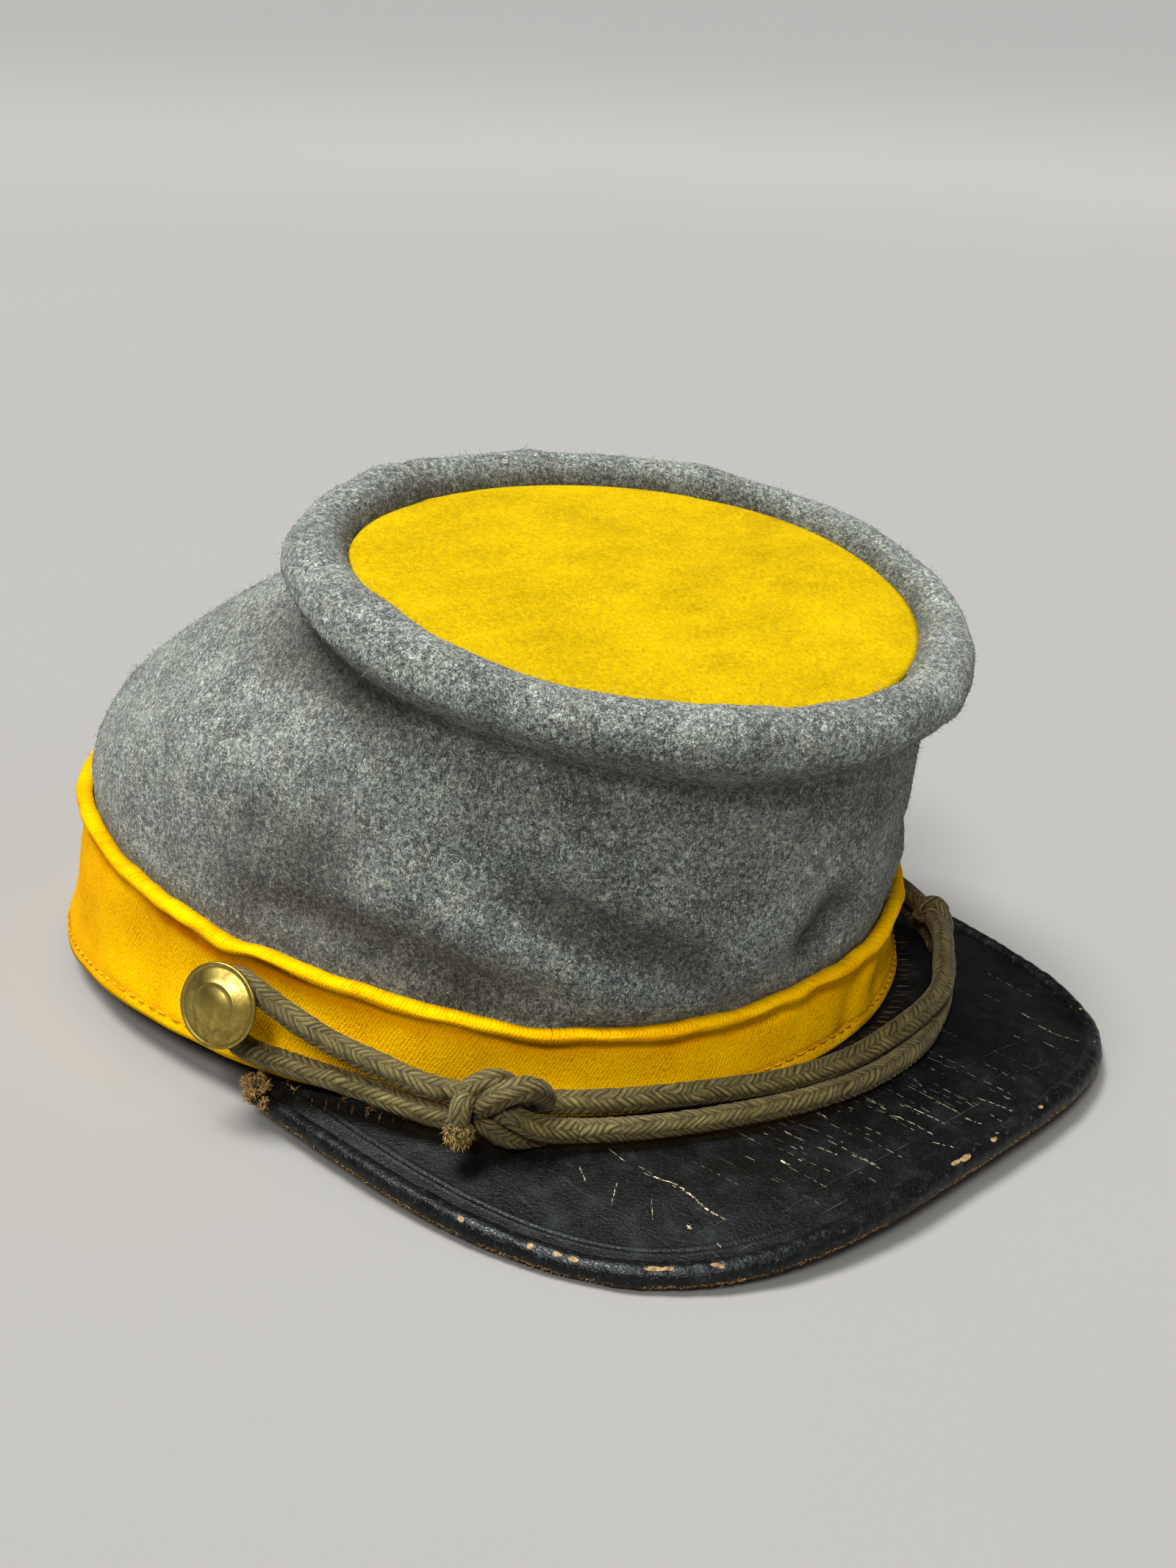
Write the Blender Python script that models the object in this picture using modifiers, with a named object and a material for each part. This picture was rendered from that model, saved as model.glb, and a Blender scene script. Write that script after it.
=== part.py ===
"""A kepi: a wool crown on a yellow band, with a leather peak, side buttons and a chin cord.

Metres, +Z up, floor at z = 0. The peak points along -Y and the wearer's right is -X.
An angle round the cap is 0 at the front and grows towards the wearer's left, +X.
Places are given from the centre of the band's foot, and the empty that every piece is
parented to carries them back, so that the origin is under the middle of the whole cap.
"""

import math

import bmesh
import bpy
import numpy as np
from mathutils import Matrix, Vector

COLLECTION = "kepi_cap"
CARRIER = "cap_carrier"
GAP = 0.0003
CLOTH = 0.0024
STATIONS = 72

# Foot of the band, an oval a little squared, and how far its hem is off the floor.
FOOT_HALF_WIDTH = 0.0866
FOOT_HALF_LENGTH = 0.0970
FOOT_SQUARE = 2.19
FOOT_EGG = 0.02
FOOT_LIFT = {"front": 0.0083, "side": 0.0081, "back": -0.0006}

# The band narrows by DRAWN_IN towards its top and is hollowed by WAIST between.
BAND_HEIGHT = {"front": 0.0175, "side": 0.0272, "back": 0.0430}
BAND_DRAWN_IN = {"front": 0.0014, "side": 0.0026, "back": 0.0085}
BAND_WAIST = 0.0012
HEM_ROUND = 0.0006
# Section of the band: share of its height, and offset from its outer face.
BAND_SECTION = (
    ("hem_inside", 0.000, -CLOTH),
    ("hem_outside", 0.000, -HEM_ROUND),
    ("hem_fold", 0.045, 0.0000),
    ("lower_face", 0.300, 0.0000),
    ("upper_face", 0.620, 0.0000),
    ("under_roll", 0.800, 0.0000),
    ("top_roll", 0.900, 0.0008),
    ("top_outside", 0.985, 0.0001),
    ("top_inside", 1.000, -0.0016),
    ("top_back", 0.970, -CLOTH),
    ("inner_face", 0.500, -CLOTH),
)
# Waves of the band's top edge: angle, half width (degrees) and rise.
BAND_WAVES = (
    ("behind_button", -112.0, 12.0, 0.0010),
    ("before_button", -66.0, 9.0, 0.0012),
    ("right_front", -30.0, 12.0, -0.0010),
)

# The padded roll: the oval of its centre line, its place, its turns and its radii.
ROLL_HALF_WIDTH = 0.0672
ROLL_HALF_LENGTH = 0.0551
ROLL_SQUARE = 2.04
ROLL_EGG = 0.08
ROLL_TURN = math.radians(-10.8)
ROLL_NOD = math.radians(13.8)
ROLL_LEAN = math.radians(0.6)
ROLL_CENTRE = (0.0, -0.0480, 0.0931)
ROLL_ACROSS = 0.0061
ROLL_UP = 0.0064
ROLL_SIDES = 12
# The cloth goes round the roll from its neck, over its top and back to its neck.
ROLL_FIRST = math.radians(-62)
ROLL_LAST = math.radians(228)

DISC_HEIGHT = 0.0022
DISC_GAP = 0.0005
DISC_CHAMFER = 0.0002

# Where the wall leaves the band and meets the roll: how long its tangents run,
# straight up or along the roll's own axis, and outwards.
WALL_RISE = {"front": 0.014, "side": 0.020, "back": 0.024}
WALL_BULGE = {"front": 0.004, "side": 0.003, "back": 0.000}
NECK_DROP = {"front": 0.014, "side": 0.016, "back": 0.010}
NECK_FLARE = {"front": 0.0028, "side": 0.005, "back": 0.022}
NECK_INSET = 0.0012
NECK_BELOW = 0.8 * ROLL_UP
WALL_ROWS = 12
# How far down inside the band the wall's cloth goes: shares of the band's height.
TUCK_OUTER = (0.08, 0.55)
TUCK_INNER = (0.90, 0.45, 0.08)
# Dents and folds of the wall: angle, half width (degrees), place up the wall,
# half height (shares of it), slant (share per degree) and depth, outwards positive.
FOLDS = (
    ("above_band_near", -52.0, 32.0, 0.16, 0.12, 0.0010, -0.0020),
    ("ridge_near", -50.0, 30.0, 0.38, 0.12, 0.0010, 0.0014),
    ("front_crease", -14.0, 12.0, 0.24, 0.16, -0.0060, -0.0018),
    ("back_hollow", 180.0, 40.0, 0.80, 0.16, 0.0000, -0.0025),
)

# Peak: a squared oval, with lifts of its rim above the floor.
PEAK_HALF_WIDTH = 0.0856
PEAK_START = -0.0290
PEAK_REACH = 0.1070
PEAK_SQUARE = 3.4
PEAK_SEAM = 0.0038
PEAK_SEAM_END = math.radians(74)
PEAK_THICK = 0.0020
PEAK_DOME = 0.0010
PEAK_STATIONS = 60
PEAK_ROWS = 5
RIM_LIFT_CENTRE = 0.0036
RIM_LIFT_END = 0.0030
RIM_CORNER = 0.55
BEAD_RADIUS = 0.0023

# Buttons: foot on the band and axis of the wearer's left one; the right one mirrors it.
BUTTON_FOOT = (0.0842, -0.0248, 0.0237)
BUTTON_AXIS = (0.90, -0.33, 0.28)
BUTTON_STAND = 0.0089
BUTTON_STEPS = 20
POST_RADIUS = 0.0013
POST_START = 0.0009
# Turned profile of a button: radius, and height above the plane of its rim.
BUTTON_PROFILE = (
    ("crest", 0.0000, 0.0026),
    ("dome", 0.0032, 0.0022),
    ("shoulder", 0.0062, 0.0008),
    ("foot_of_dome", 0.0073, 0.0001),
    ("rim_top", 0.0078, 0.0004),
    ("rim_edge", 0.0082, -0.0001),
    ("rim_back", 0.0079, -0.0008),
    ("back", POST_RADIUS, -0.0012),
    ("post_end", POST_RADIUS, POST_START - BUTTON_STAND),
    ("post_axis", 0.0000, POST_START - BUTTON_STAND),
)

# From the middle of the cap's length, rim to hem, back to the middle of the band's foot.
FOOT_BACK = (PEAK_REACH - PEAK_START + BEAD_RADIUS - FOOT_HALF_LENGTH + HEM_ROUND) / 2

# Chin cord: where its two runs lie, as angle (degrees), stand-off from the foot of
# the band and height, both in millimetres, from the right button to the left one.
CORD_RADIUS = 0.00225
ROUTE_STEPS = 12
CORD_UPPER = (
    ("leaves_right_button", -75.5, 3.1, 29.6),
    ("falls", -70.0, 3.1, 25.9),
    ("falls_on", -64.5, 3.1, 22.4),
    ("nears_knot", -58.0, 3.3, 19.6),
    ("enters_knot", -51.5, 4.6, 17.4),
    ("in_knot", -43.5, 4.9, 16.4),
    ("leaves_knot", -36.0, 4.3, 15.5),
    ("along_band", -29.0, 3.7, 14.8),
    ("along_band_too", -20.0, 4.0, 14.1),
    ("stands_clear", -9.0, 6.6, 13.4),
    ("front", 0.0, 9.0, 13.3),
    ("climbs", 9.0, 11.2, 15.3),
    ("over_lower_run", 18.0, 11.9, 16.0),
    ("over_lower_run_too", 27.0, 9.8, 16.0),
    ("enters_left_knot", 34.0, 9.2, 15.9),
    ("in_left_knot", 40.5, 8.0, 15.8),
    ("leaves_left_knot", 47.0, 5.3, 15.9),
    ("sags", 54.0, 3.6, 15.8),
    ("rises", 61.0, 3.1, 17.2),
    ("rises_on", 67.0, 3.1, 20.6),
    ("rises_to_button", 71.5, 3.1, 25.0),
    ("reaches_left_button", 75.5, 3.1, 29.6),
)
CORD_LOWER = (
    ("leaves_right_button", -74.0, 3.1, 15.3),
    ("along_hem", -67.0, 3.1, 15.0),
    ("along_hem_too", -60.5, 3.4, 14.2),
    ("enters_knot", -51.5, 5.6, 12.5),
    ("in_knot", -43.5, 6.4, 11.7),
    ("leaves_knot", -36.0, 7.2, 11.3),
    ("on_peak", -29.0, 8.0, 11.3),
    ("on_peak_too", -20.0, 9.0, 11.3),
    ("stands_clear", -9.0, 11.6, 11.3),
    ("front", 0.0, 13.7, 11.2),
    ("left_front", 9.0, 13.7, 11.1),
    ("bends_back", 18.0, 11.9, 11.1),
    ("under_upper_run", 27.0, 10.4, 11.1),
    ("enters_left_knot", 34.0, 10.2, 11.0),
    ("in_left_knot", 40.5, 9.0, 11.0),
    ("leaves_left_knot", 47.0, 6.4, 11.0),
    ("along_hem_left", 56.0, 4.4, 11.0),
    ("along_hem_left_too", 65.0, 3.3, 12.4),
    ("reaches_left_button", 74.0, 3.1, 15.3),
)
# Loop round a button's post, as back along +Y and up from the button's foot.
CORD_LOOP = (
    ("over_post", 0.0002, 0.0052),
    ("behind_top", 0.0034, 0.0034),
    ("behind", 0.0042, -0.0002),
    ("behind_low", 0.0030, -0.0044),
    ("under_post", -0.0006, -0.0074),
)
CORD_LOOP_OFF = 0.0026
CORD_LOOP_REACH = 0.0075
CORD_LOOP_STEP = 0.0034
CORD_STEP = 0.0102
CORD_END_GAP = 0.0008
# Knots: row of both runs that they sit on, length along the cord and thickness.
KNOTS = (
    ("right", "in_knot", 0.0185, 0.0021),
    ("left", "in_left_knot", 0.0085, 0.0013),
)
KNOT_GAP = 0.0005
KNOT_TURNS = {"first": -10.0, "run_change": 5.0, "last": 170.0}
# Sections of a knot along the cord: share of its half length and of its thickness.
KNOT_SECTIONS = ((-1.0, 0.55), (-0.8, 1.0), (0.8, 1.0), (1.0, 0.55))
# The cut end before the right knot: angle, stand-off and height of both its ends.
CORD_END = (("at_knot", -48.8, 13.6, 18.2), ("cut_face", -48.0, 14.0, 12.0))


def around(table, angle):
    """Value at an angle of what a table gives for the front, the sides and the back."""
    c = np.cos(angle)
    mean = (table["front"] + table["back"]) / 2
    return table["side"] + (table["front"] - table["back"]) / 2 * c + (mean - table["side"]) * c * c


def oval(angle, half_width, half_length, square, egg=0.0):
    """Points of a squared oval, whose back is wider than its front by the share egg."""
    s, c = np.sin(angle), np.cos(angle)
    x = np.sign(s) * np.abs(s) ** (2 / square) * half_width
    y = -np.sign(c) * np.abs(c) ** (2 / square) * half_length
    return np.stack([x * (1 + egg * y / half_length), y], axis=-1)


def foot_oval(angle, inset=0.0):
    return oval(angle, FOOT_HALF_WIDTH - inset, FOOT_HALF_LENGTH - inset, FOOT_SQUARE, FOOT_EGG)


def outward(points):
    """Unit normals of a closed flat outline that runs anticlockwise."""
    run = np.roll(points, -1, axis=0) - np.roll(points, 1, axis=0)
    normal = np.stack([run[:, 1], -run[:, 0]], axis=-1)
    return normal / np.linalg.norm(normal, axis=1, keepdims=True)


def bump(x):
    return np.exp(-x * x)


def apart(angle, degrees):
    """How far an angle lies from a given one, in degrees, the short way round."""
    return (np.degrees(angle) - degrees + 180.0) % 360.0 - 180.0


def resample(points, count):
    """Points at even steps along a line of points."""
    step = np.linalg.norm(np.diff(points, axis=0), axis=1)
    run = np.concatenate([[0.0], np.cumsum(step)])
    want = np.linspace(0.0, run[-1], count)
    return np.column_stack([np.interp(want, run, points[:, k]) for k in range(3)])


def smooth_route(points, steps):
    """Catmull-Rom curve through points, with so many pieces between each pair."""
    points = np.asarray(points)
    ends = np.vstack([2 * points[0] - points[1], points, 2 * points[-1] - points[-2]])
    t = (np.arange(steps) / steps)[:, None]
    curve = []
    for i in range(len(points) - 1):
        before, start, end, after = ends[i : i + 4]
        slope = (end - before) / 2
        square = before - 2.5 * start + 2 * end - 0.5 * after
        cube = (3 * (start - end) + after - before) / 2
        curve.append(start + t * slope + t**2 * square + t**3 * cube)
    return np.vstack([*curve, points[-1]])


ANGLES = np.arange(STATIONS) * 2 * math.pi / STATIONS + 1e-5


def hem_height(angle):
    return np.maximum(around(FOOT_LIFT, angle), 0.0)


def band_ring(rise, out):
    """Closed ring on the band, at a share of its height and an offset from its outer face."""
    drawn = around(BAND_DRAWN_IN, ANGLES) * rise
    waist = BAND_WAIST * 4 * rise * (1 - rise)
    foot = foot_oval(ANGLES)
    flat = foot + outward(foot) * (out - drawn - waist)[:, None]
    wave = sum(up * bump(apart(ANGLES, at) / half) for _, at, half, up in BAND_WAVES)
    z = hem_height(ANGLES) + (around(BAND_HEIGHT, ANGLES) + wave) * rise
    return np.column_stack([flat, z])


def roll_frame():
    """Axes of the roll's plane: across, back and up, as columns."""
    return np.array(Matrix.Rotation(ROLL_NOD, 3, "X") @ Matrix.Rotation(ROLL_LEAN, 3, "Y"))


def roll_ring(out, up):
    """Closed ring at an offset from the roll's centre line, in the roll's own plane."""
    flat = oval(ANGLES, ROLL_HALF_WIDTH, ROLL_HALF_LENGTH, ROLL_SQUARE, ROLL_EGG)
    flat = flat + outward(flat) * out
    local = np.column_stack([flat, np.full(STATIONS, up)])
    turned = local @ np.array(Matrix.Rotation(ROLL_TURN, 3, "Z")).T
    return turned @ roll_frame().T + np.array(ROLL_CENTRE)


def dents(share):
    """Depth of the folds at every station of a ring at a share of the wall's height."""
    depth = np.zeros(STATIONS)
    for _, at, half, height, half_height, slant, deep in FOLDS:
        off = apart(ANGLES, at)
        depth += deep * bump(off / half) * bump((share - height - slant * off) / half_height)
    return depth


def wall_ring(share, out):
    """Closed ring on the crown's wall: a cubic from the band's top to the roll's neck."""
    foot = band_ring(1.0, -CLOTH - GAP)
    neck = roll_ring(-NECK_INSET, -NECK_BELOW)
    side = np.column_stack([outward(foot[:, :2]), np.zeros(STATIONS)])
    first = foot + around(WALL_RISE, ANGLES)[:, None] * np.array([0.0, 0.0, 1.0])
    first = first + around(WALL_BULGE, ANGLES)[:, None] * side
    last = neck - around(NECK_DROP, ANGLES)[:, None] * roll_frame()[:, 2]
    last = last + around(NECK_FLARE, ANGLES)[:, None] * side
    rest = 1 - share
    low = foot * rest**3 + first * 3 * share * rest**2
    high = last * 3 * share**2 * rest + neck * share**3
    return low + high + side * (out + dents(share))[:, None]


def material(name, colour, roughness, metallic=0.0):
    made = bpy.data.materials.new(name)
    made.use_nodes = True
    shader = made.node_tree.nodes["Principled BSDF"]
    shader.inputs["Base Color"].default_value = (*colour, 1.0)
    shader.inputs["Roughness"].default_value = roughness
    shader.inputs["Metallic"].default_value = metallic
    return made


def add_object(name, data):
    made = bpy.data.objects.new(name, data)
    made.parent = bpy.data.objects[CARRIER]
    bpy.data.collections[COLLECTION].objects.link(made)
    return made


def add_mesh(name, points, faces, finish):
    mesh = bpy.data.meshes.new(name)
    mesh.from_pydata([tuple(p) for p in points], [], faces)
    shape = bmesh.new()
    shape.from_mesh(mesh)
    bmesh.ops.recalc_face_normals(shape, faces=shape.faces)
    shape.to_mesh(mesh)
    shape.free()
    mesh.materials.append(finish)
    mesh.shade_smooth()
    mesh.set_sharp_from_angle(angle=math.radians(50))
    add_object(name, mesh)


def add_tube(name, points, radius, finish):
    curve = bpy.data.curves.new(name, "CURVE")
    curve.dimensions = "3D"
    curve.bevel_depth = radius
    curve.bevel_resolution = 2
    curve.use_fill_caps = True
    spline = curve.splines.new("POLY")
    spline.points.add(len(points) - 1)
    spline.points.foreach_set("co", np.column_stack([points, np.ones(len(points))]).ravel())
    curve.materials.append(finish)
    add_object(name, curve)


def ring_faces(rings, closed):
    """Quads between closed rings; closed joins the last ring to the first."""
    faces = []
    for j in range(rings if closed else rings - 1):
        k = (j + 1) % rings
        for i in range(STATIONS):
            n = (i + 1) % STATIONS
            faces.append((j * STATIONS + i, j * STATIONS + n, k * STATIONS + n, k * STATIONS + i))
    return faces


def strip_faces(lines, count):
    """Quads between open lines of count points, the last line joined to the first, and ends."""
    faces = []
    for j in range(lines):
        k = (j + 1) % lines
        for i in range(count - 1):
            faces.append((j * count + i, j * count + i + 1, k * count + i + 1, k * count + i))
    faces.append(tuple(j * count for j in range(lines)))
    faces.append(tuple(j * count + count - 1 for j in range(lines))[::-1])
    return faces


def add_crown():
    """One cloth section swept round: up the outer wall, over the roll, down inside."""
    rings = [band_ring(rise, -CLOTH - GAP) for rise in TUCK_OUTER]
    shares = [j / WALL_ROWS for j in range(WALL_ROWS)]
    rings += [wall_ring(share, 0.0) for share in shares]
    for turn in np.linspace(ROLL_FIRST, ROLL_LAST, ROLL_SIDES + 1):
        rings.append(roll_ring(ROLL_ACROSS * math.cos(turn), ROLL_UP * math.sin(turn)))
    rings += [wall_ring(share, -CLOTH) for share in shares[:0:-2]]
    rings += [band_ring(rise, -2 * CLOTH - GAP) for rise in TUCK_INNER]
    finish = material("grey_heather_wool", (0.24, 0.26, 0.26), 0.95)
    add_mesh("crown", np.concatenate(rings), ring_faces(len(rings), True), finish)


def add_disc():
    """Flat round of cloth that fills the roll, a little below its top."""

    def inset(height):
        return ROLL_ACROSS * math.sqrt(1 - (height / ROLL_UP) ** 2) + DISC_GAP

    under = roll_ring(-inset(DISC_HEIGHT - CLOTH), DISC_HEIGHT - CLOTH)
    top = roll_ring(-inset(DISC_HEIGHT) - DISC_CHAMFER, DISC_HEIGHT)
    faces = ring_faces(2, False)
    faces.append(tuple(range(STATIONS))[::-1])
    faces.append(tuple(range(STATIONS, 2 * STATIONS)))
    finish = material("yellow_wool", (0.78, 0.56, 0.01), 0.9)
    add_mesh("crown_disc", np.concatenate([under, top]), faces, finish)


def add_band():
    rings = [band_ring(rise, out) for _, rise, out in BAND_SECTION]
    finish = material("yellow_twill", (0.80, 0.47, 0.01), 0.85)
    add_mesh("band", np.concatenate(rings), ring_faces(len(rings), True), finish)


def rim_line():
    """Centre line of the bead, from the wearer's right round the front to the left."""
    q = np.linspace(-math.pi / 2, math.pi / 2, 721)
    x = PEAK_HALF_WIDTH * np.sign(q) * np.abs(np.sin(q)) ** (2 / PEAK_SQUARE)
    y = PEAK_START - PEAK_REACH * np.abs(np.cos(q)) ** (2 / PEAK_SQUARE)
    share = np.abs(q) / (math.pi / 2)
    front = np.clip(share / RIM_CORNER, 0.0, 1.0)
    back = np.clip((share - RIM_CORNER) / (1 - RIM_CORNER), 0.0, 1.0)
    lift = RIM_LIFT_CENTRE * (1 - front * front * (3 - 2 * front)) + RIM_LIFT_END * back**2
    return resample(np.column_stack([x, y, lift + BEAD_RADIUS]), PEAK_STATIONS)


def seam_line():
    """Inner edge of the peak's upper face, under the band's hem."""
    angle = np.linspace(-PEAK_SEAM_END, PEAK_SEAM_END, 361)
    line = foot_oval(angle, PEAK_SEAM)
    return resample(np.column_stack([line, hem_height(angle) - GAP]), PEAK_STATIONS)


def add_peak():
    """A slightly domed sheet of leather from under the hem to the bead."""
    seam, bead = seam_line(), rim_line()
    run = np.gradient(bead[:, :2], axis=0)
    inward = np.column_stack([-run[:, 1], run[:, 0]]) / np.linalg.norm(run, axis=1)[:, None]
    edge = bead + [0.0, 0.0, PEAK_THICK / 2]
    edge[:, :2] += inward * (BEAD_RADIUS + GAP)
    width = np.linalg.norm((edge - seam)[:, :2], axis=1)
    upper = []
    for share in np.linspace(0.0, 1.0, PEAK_ROWS + 1):
        line = seam * (1 - share) + edge * share
        line[:, 2] += PEAK_DOME * math.sin(math.pi * share) * width / width.max()
        upper.append(line)
    lower = [line - np.array([0.0, 0.0, PEAK_THICK]) for line in upper]
    faces = strip_faces(2 * len(upper), PEAK_STATIONS)
    finish = material("black_leather", (0.02, 0.017, 0.016), 0.3)
    add_mesh("peak", np.concatenate(upper + lower[::-1]), faces, finish)


def add_bead():
    finish = material("leather_bead", (0.02, 0.017, 0.016), 0.35)
    add_tube("peak_binding", rim_line(), BEAD_RADIUS, finish)


def add_button(name, side, finish):
    """Turned head and post, with the axis stood off the band."""
    mesh = bpy.data.meshes.new(name)
    points = [(radius, 0.0, up) for _, radius, up in BUTTON_PROFILE]
    mesh.from_pydata(points, [(i, i + 1) for i in range(len(points) - 1)], [])
    mesh.materials.append(finish)
    made = add_object(name, mesh)
    turned = made.modifiers.new("turned", "SCREW")
    turned.steps = turned.render_steps = BUTTON_STEPS
    turned.use_merge_vertices = True
    turned.merge_threshold = 0.00001
    mirror = Vector((side, 1, 1))
    axis = (Vector(BUTTON_AXIS) * mirror).normalized()
    made.location = Vector(BUTTON_FOOT) * mirror + axis * BUTTON_STAND
    made.rotation_euler = axis.to_track_quat("Z", "Y").to_euler()


def off_band(degrees, off, height):
    """Point at an angle, at a stand-off from the band's foot and a height, in millimetres."""
    foot = foot_oval(math.radians(degrees) + np.array([-1e-3, 0.0, 1e-3]))
    run = foot[2] - foot[0]
    normal = np.array([run[1], -run[0]]) / np.linalg.norm(run)
    return np.array([*(foot[1] + normal * off * 0.001), height * 0.001])


def loop_points(side):
    """The cord's way round a post, from the upper run to the lower."""
    foot = np.array(BUTTON_FOOT) * (side, 1, 1)
    return [foot + (CORD_LOOP_OFF * side, back, up) for _, back, up in CORD_LOOP]


def cord_route():
    """Centre line of the whole cord: it starts and ends inside the right knot."""
    upper = [off_band(*row[1:]) for row in CORD_UPPER]
    lower = [off_band(*row[1:]) for row in CORD_LOWER]
    knot = [row[0] for row in CORD_LOWER].index("in_knot")
    along = lower[knot + 1] - lower[knot]
    half_gap = along / np.linalg.norm(along) * CORD_END_GAP / 2
    route = [lower[knot] + half_gap] + lower[knot + 1 :]
    route += loop_points(1)[::-1] + upper[::-1]
    route += loop_points(-1) + lower[:knot] + [lower[knot] - half_gap]
    curve = smooth_route(route, ROUTE_STEPS)
    looped = np.abs(curve[1:, 1] - BUTTON_FOOT[1]) < CORD_LOOP_REACH
    step = np.where(looped, CORD_LOOP_STEP, CORD_STEP)
    run = np.cumsum(np.linalg.norm(np.diff(curve, axis=0), axis=1) / step)
    run = np.concatenate([[0.0], run])
    want = np.linspace(0.0, run[-1], round(run[-1]) + 1)
    return np.column_stack([np.interp(want, run, curve[:, k]) for k in range(3)])


def run_section(table, place, distance):
    """Centre of a run, and its level outward normal, so far along from a row's place."""
    curve = smooth_route([off_band(*row[1:]) for row in table], ROUTE_STEPS)
    run = np.concatenate([[0.0], np.cumsum(np.linalg.norm(np.diff(curve, axis=0), axis=1))])
    run -= run[[row[0] for row in table].index(place) * ROUTE_STEPS]
    want = distance + np.array([-0.001, 0.0, 0.001])
    back, centre, ahead = np.column_stack([np.interp(want, run, curve[:, k]) for k in range(3)])
    along = ahead - back
    flat = np.array([along[1], -along[0], 0.0])
    return centre, flat / np.linalg.norm(flat)


def add_knot(side, place, length, thick, finish):
    """A saddle over the two runs, on their outer and upper sides, clear of the peak."""
    change = KNOT_TURNS["run_change"]
    turns = [(CORD_LOWER, turn) for turn in np.linspace(KNOT_TURNS["first"], change, 3)]
    turns += [(CORD_UPPER, turn) for turn in np.linspace(change, KNOT_TURNS["last"], 9)]
    inner, outer = [], []
    for share, full in KNOT_SECTIONS:
        inner.append([])
        outer.append([])
        for table, turn in turns:
            centre, flat = run_section(table, place, share * length / 2)
            spoke = math.cos(math.radians(turn)) * flat
            spoke[2] = math.sin(math.radians(turn))
            inner[-1].append(centre + spoke * (CORD_RADIUS + KNOT_GAP))
            outer[-1].append(centre + spoke * (CORD_RADIUS + KNOT_GAP + thick * full))
    lines = inner + outer[::-1]
    faces = strip_faces(len(lines), len(turns))
    add_mesh("cord_knot_" + side, np.concatenate(lines), faces, finish)


def add_cord():
    finish = material("cord_braid", (0.16, 0.13, 0.08), 0.8)
    add_tube("chin_cord", cord_route(), CORD_RADIUS, finish)
    for row in KNOTS:
        add_knot(*row, finish)
    cut = np.array([off_band(*row[1:]) for row in CORD_END])
    add_tube("cord_end", cut, CORD_RADIUS, finish)


def main():
    for old in list(bpy.data.objects):
        bpy.data.objects.remove(old, do_unlink=True)
    collection = bpy.data.collections.new(COLLECTION)
    bpy.context.scene.collection.children.link(collection)
    carrier = bpy.data.objects.new(CARRIER, None)
    carrier.location.y = FOOT_BACK
    collection.objects.link(carrier)
    add_crown()
    add_disc()
    add_band()
    add_peak()
    add_bead()
    brass = material("brass", (0.55, 0.43, 0.17), 0.3, 1.0)
    add_button("button_right", -1, brass)
    add_button("button_left", 1, brass)
    add_cord()


main()
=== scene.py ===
import math

import bpy
import numpy as np
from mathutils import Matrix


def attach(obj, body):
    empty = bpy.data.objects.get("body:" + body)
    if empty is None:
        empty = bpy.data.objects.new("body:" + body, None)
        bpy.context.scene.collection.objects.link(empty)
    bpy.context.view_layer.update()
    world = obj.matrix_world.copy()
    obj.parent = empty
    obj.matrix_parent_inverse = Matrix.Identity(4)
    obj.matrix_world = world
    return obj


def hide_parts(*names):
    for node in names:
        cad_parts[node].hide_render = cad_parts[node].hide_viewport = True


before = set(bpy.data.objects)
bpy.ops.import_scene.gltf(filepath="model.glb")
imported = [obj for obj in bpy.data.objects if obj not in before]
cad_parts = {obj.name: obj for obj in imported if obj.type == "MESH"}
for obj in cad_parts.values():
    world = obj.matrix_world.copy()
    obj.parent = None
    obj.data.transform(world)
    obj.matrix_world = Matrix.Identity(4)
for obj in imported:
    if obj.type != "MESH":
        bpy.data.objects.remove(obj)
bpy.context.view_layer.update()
print("kepi: frame read")

millimetre = 0.001
upright = np.array([0.0, 0.0, 1.0])

# What follows, down to the camera, is shared by all the pieces.


def unit(vectors):
    # each vector divided by its own length
    return vectors / np.maximum(np.linalg.norm(vectors, axis=-1, keepdims=True), 1e-12)


def hump(x):
    # bell: 1 at 0 and falling away on both sides as exp(-x^2)
    return np.exp(-x * x)


def ease(x):
    # 0 below 0, 1 above 1, and 3x^2 - 2x^3 between
    x = np.clip(x, 0.0, 1.0)
    return x * x * (3 - 2 * x)


def anglesRound(count):
    # even angles of a whole turn, without its end
    return np.arange(count) * 2 * math.pi / count


def apart(angle, degrees):
    # how far an angle is from a given one, in degrees, the short way round
    return (np.degrees(angle) - degrees + 180.0) % 360.0 - 180.0


def around(table, angle):
    # value at an angle of what a table gives for front, side and back: a + b cos + c cos^2
    c = np.cos(angle)
    mean = (table["front"] + table["back"]) / 2
    return table["side"] + (table["front"] - table["back"]) / 2 * c + (mean - table["side"]) * c * c


def softNoise(points, size, seed, waves=24):
    # sum of cosines that run in random directions, about one hump for each size; mostly -1 to 1
    dice = np.random.default_rng(seed)
    ways = unit(dice.normal(size=(waves, 3)))
    lengths = size * dice.uniform(0.8, 1.9, waves)
    phases = dice.uniform(0, 2 * math.pi, waves)
    turns = points @ (ways * (2 * math.pi / lengths)[:, None]).T + phases
    return np.cos(turns).sum(axis=-1) * math.sqrt(2 / waves) * 0.6


def lumps(points, *layers):
    # layers of soft noise on each other, each given by its size, seed and height
    return sum(softNoise(points, size, seed) * height for size, seed, height in layers)


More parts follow.
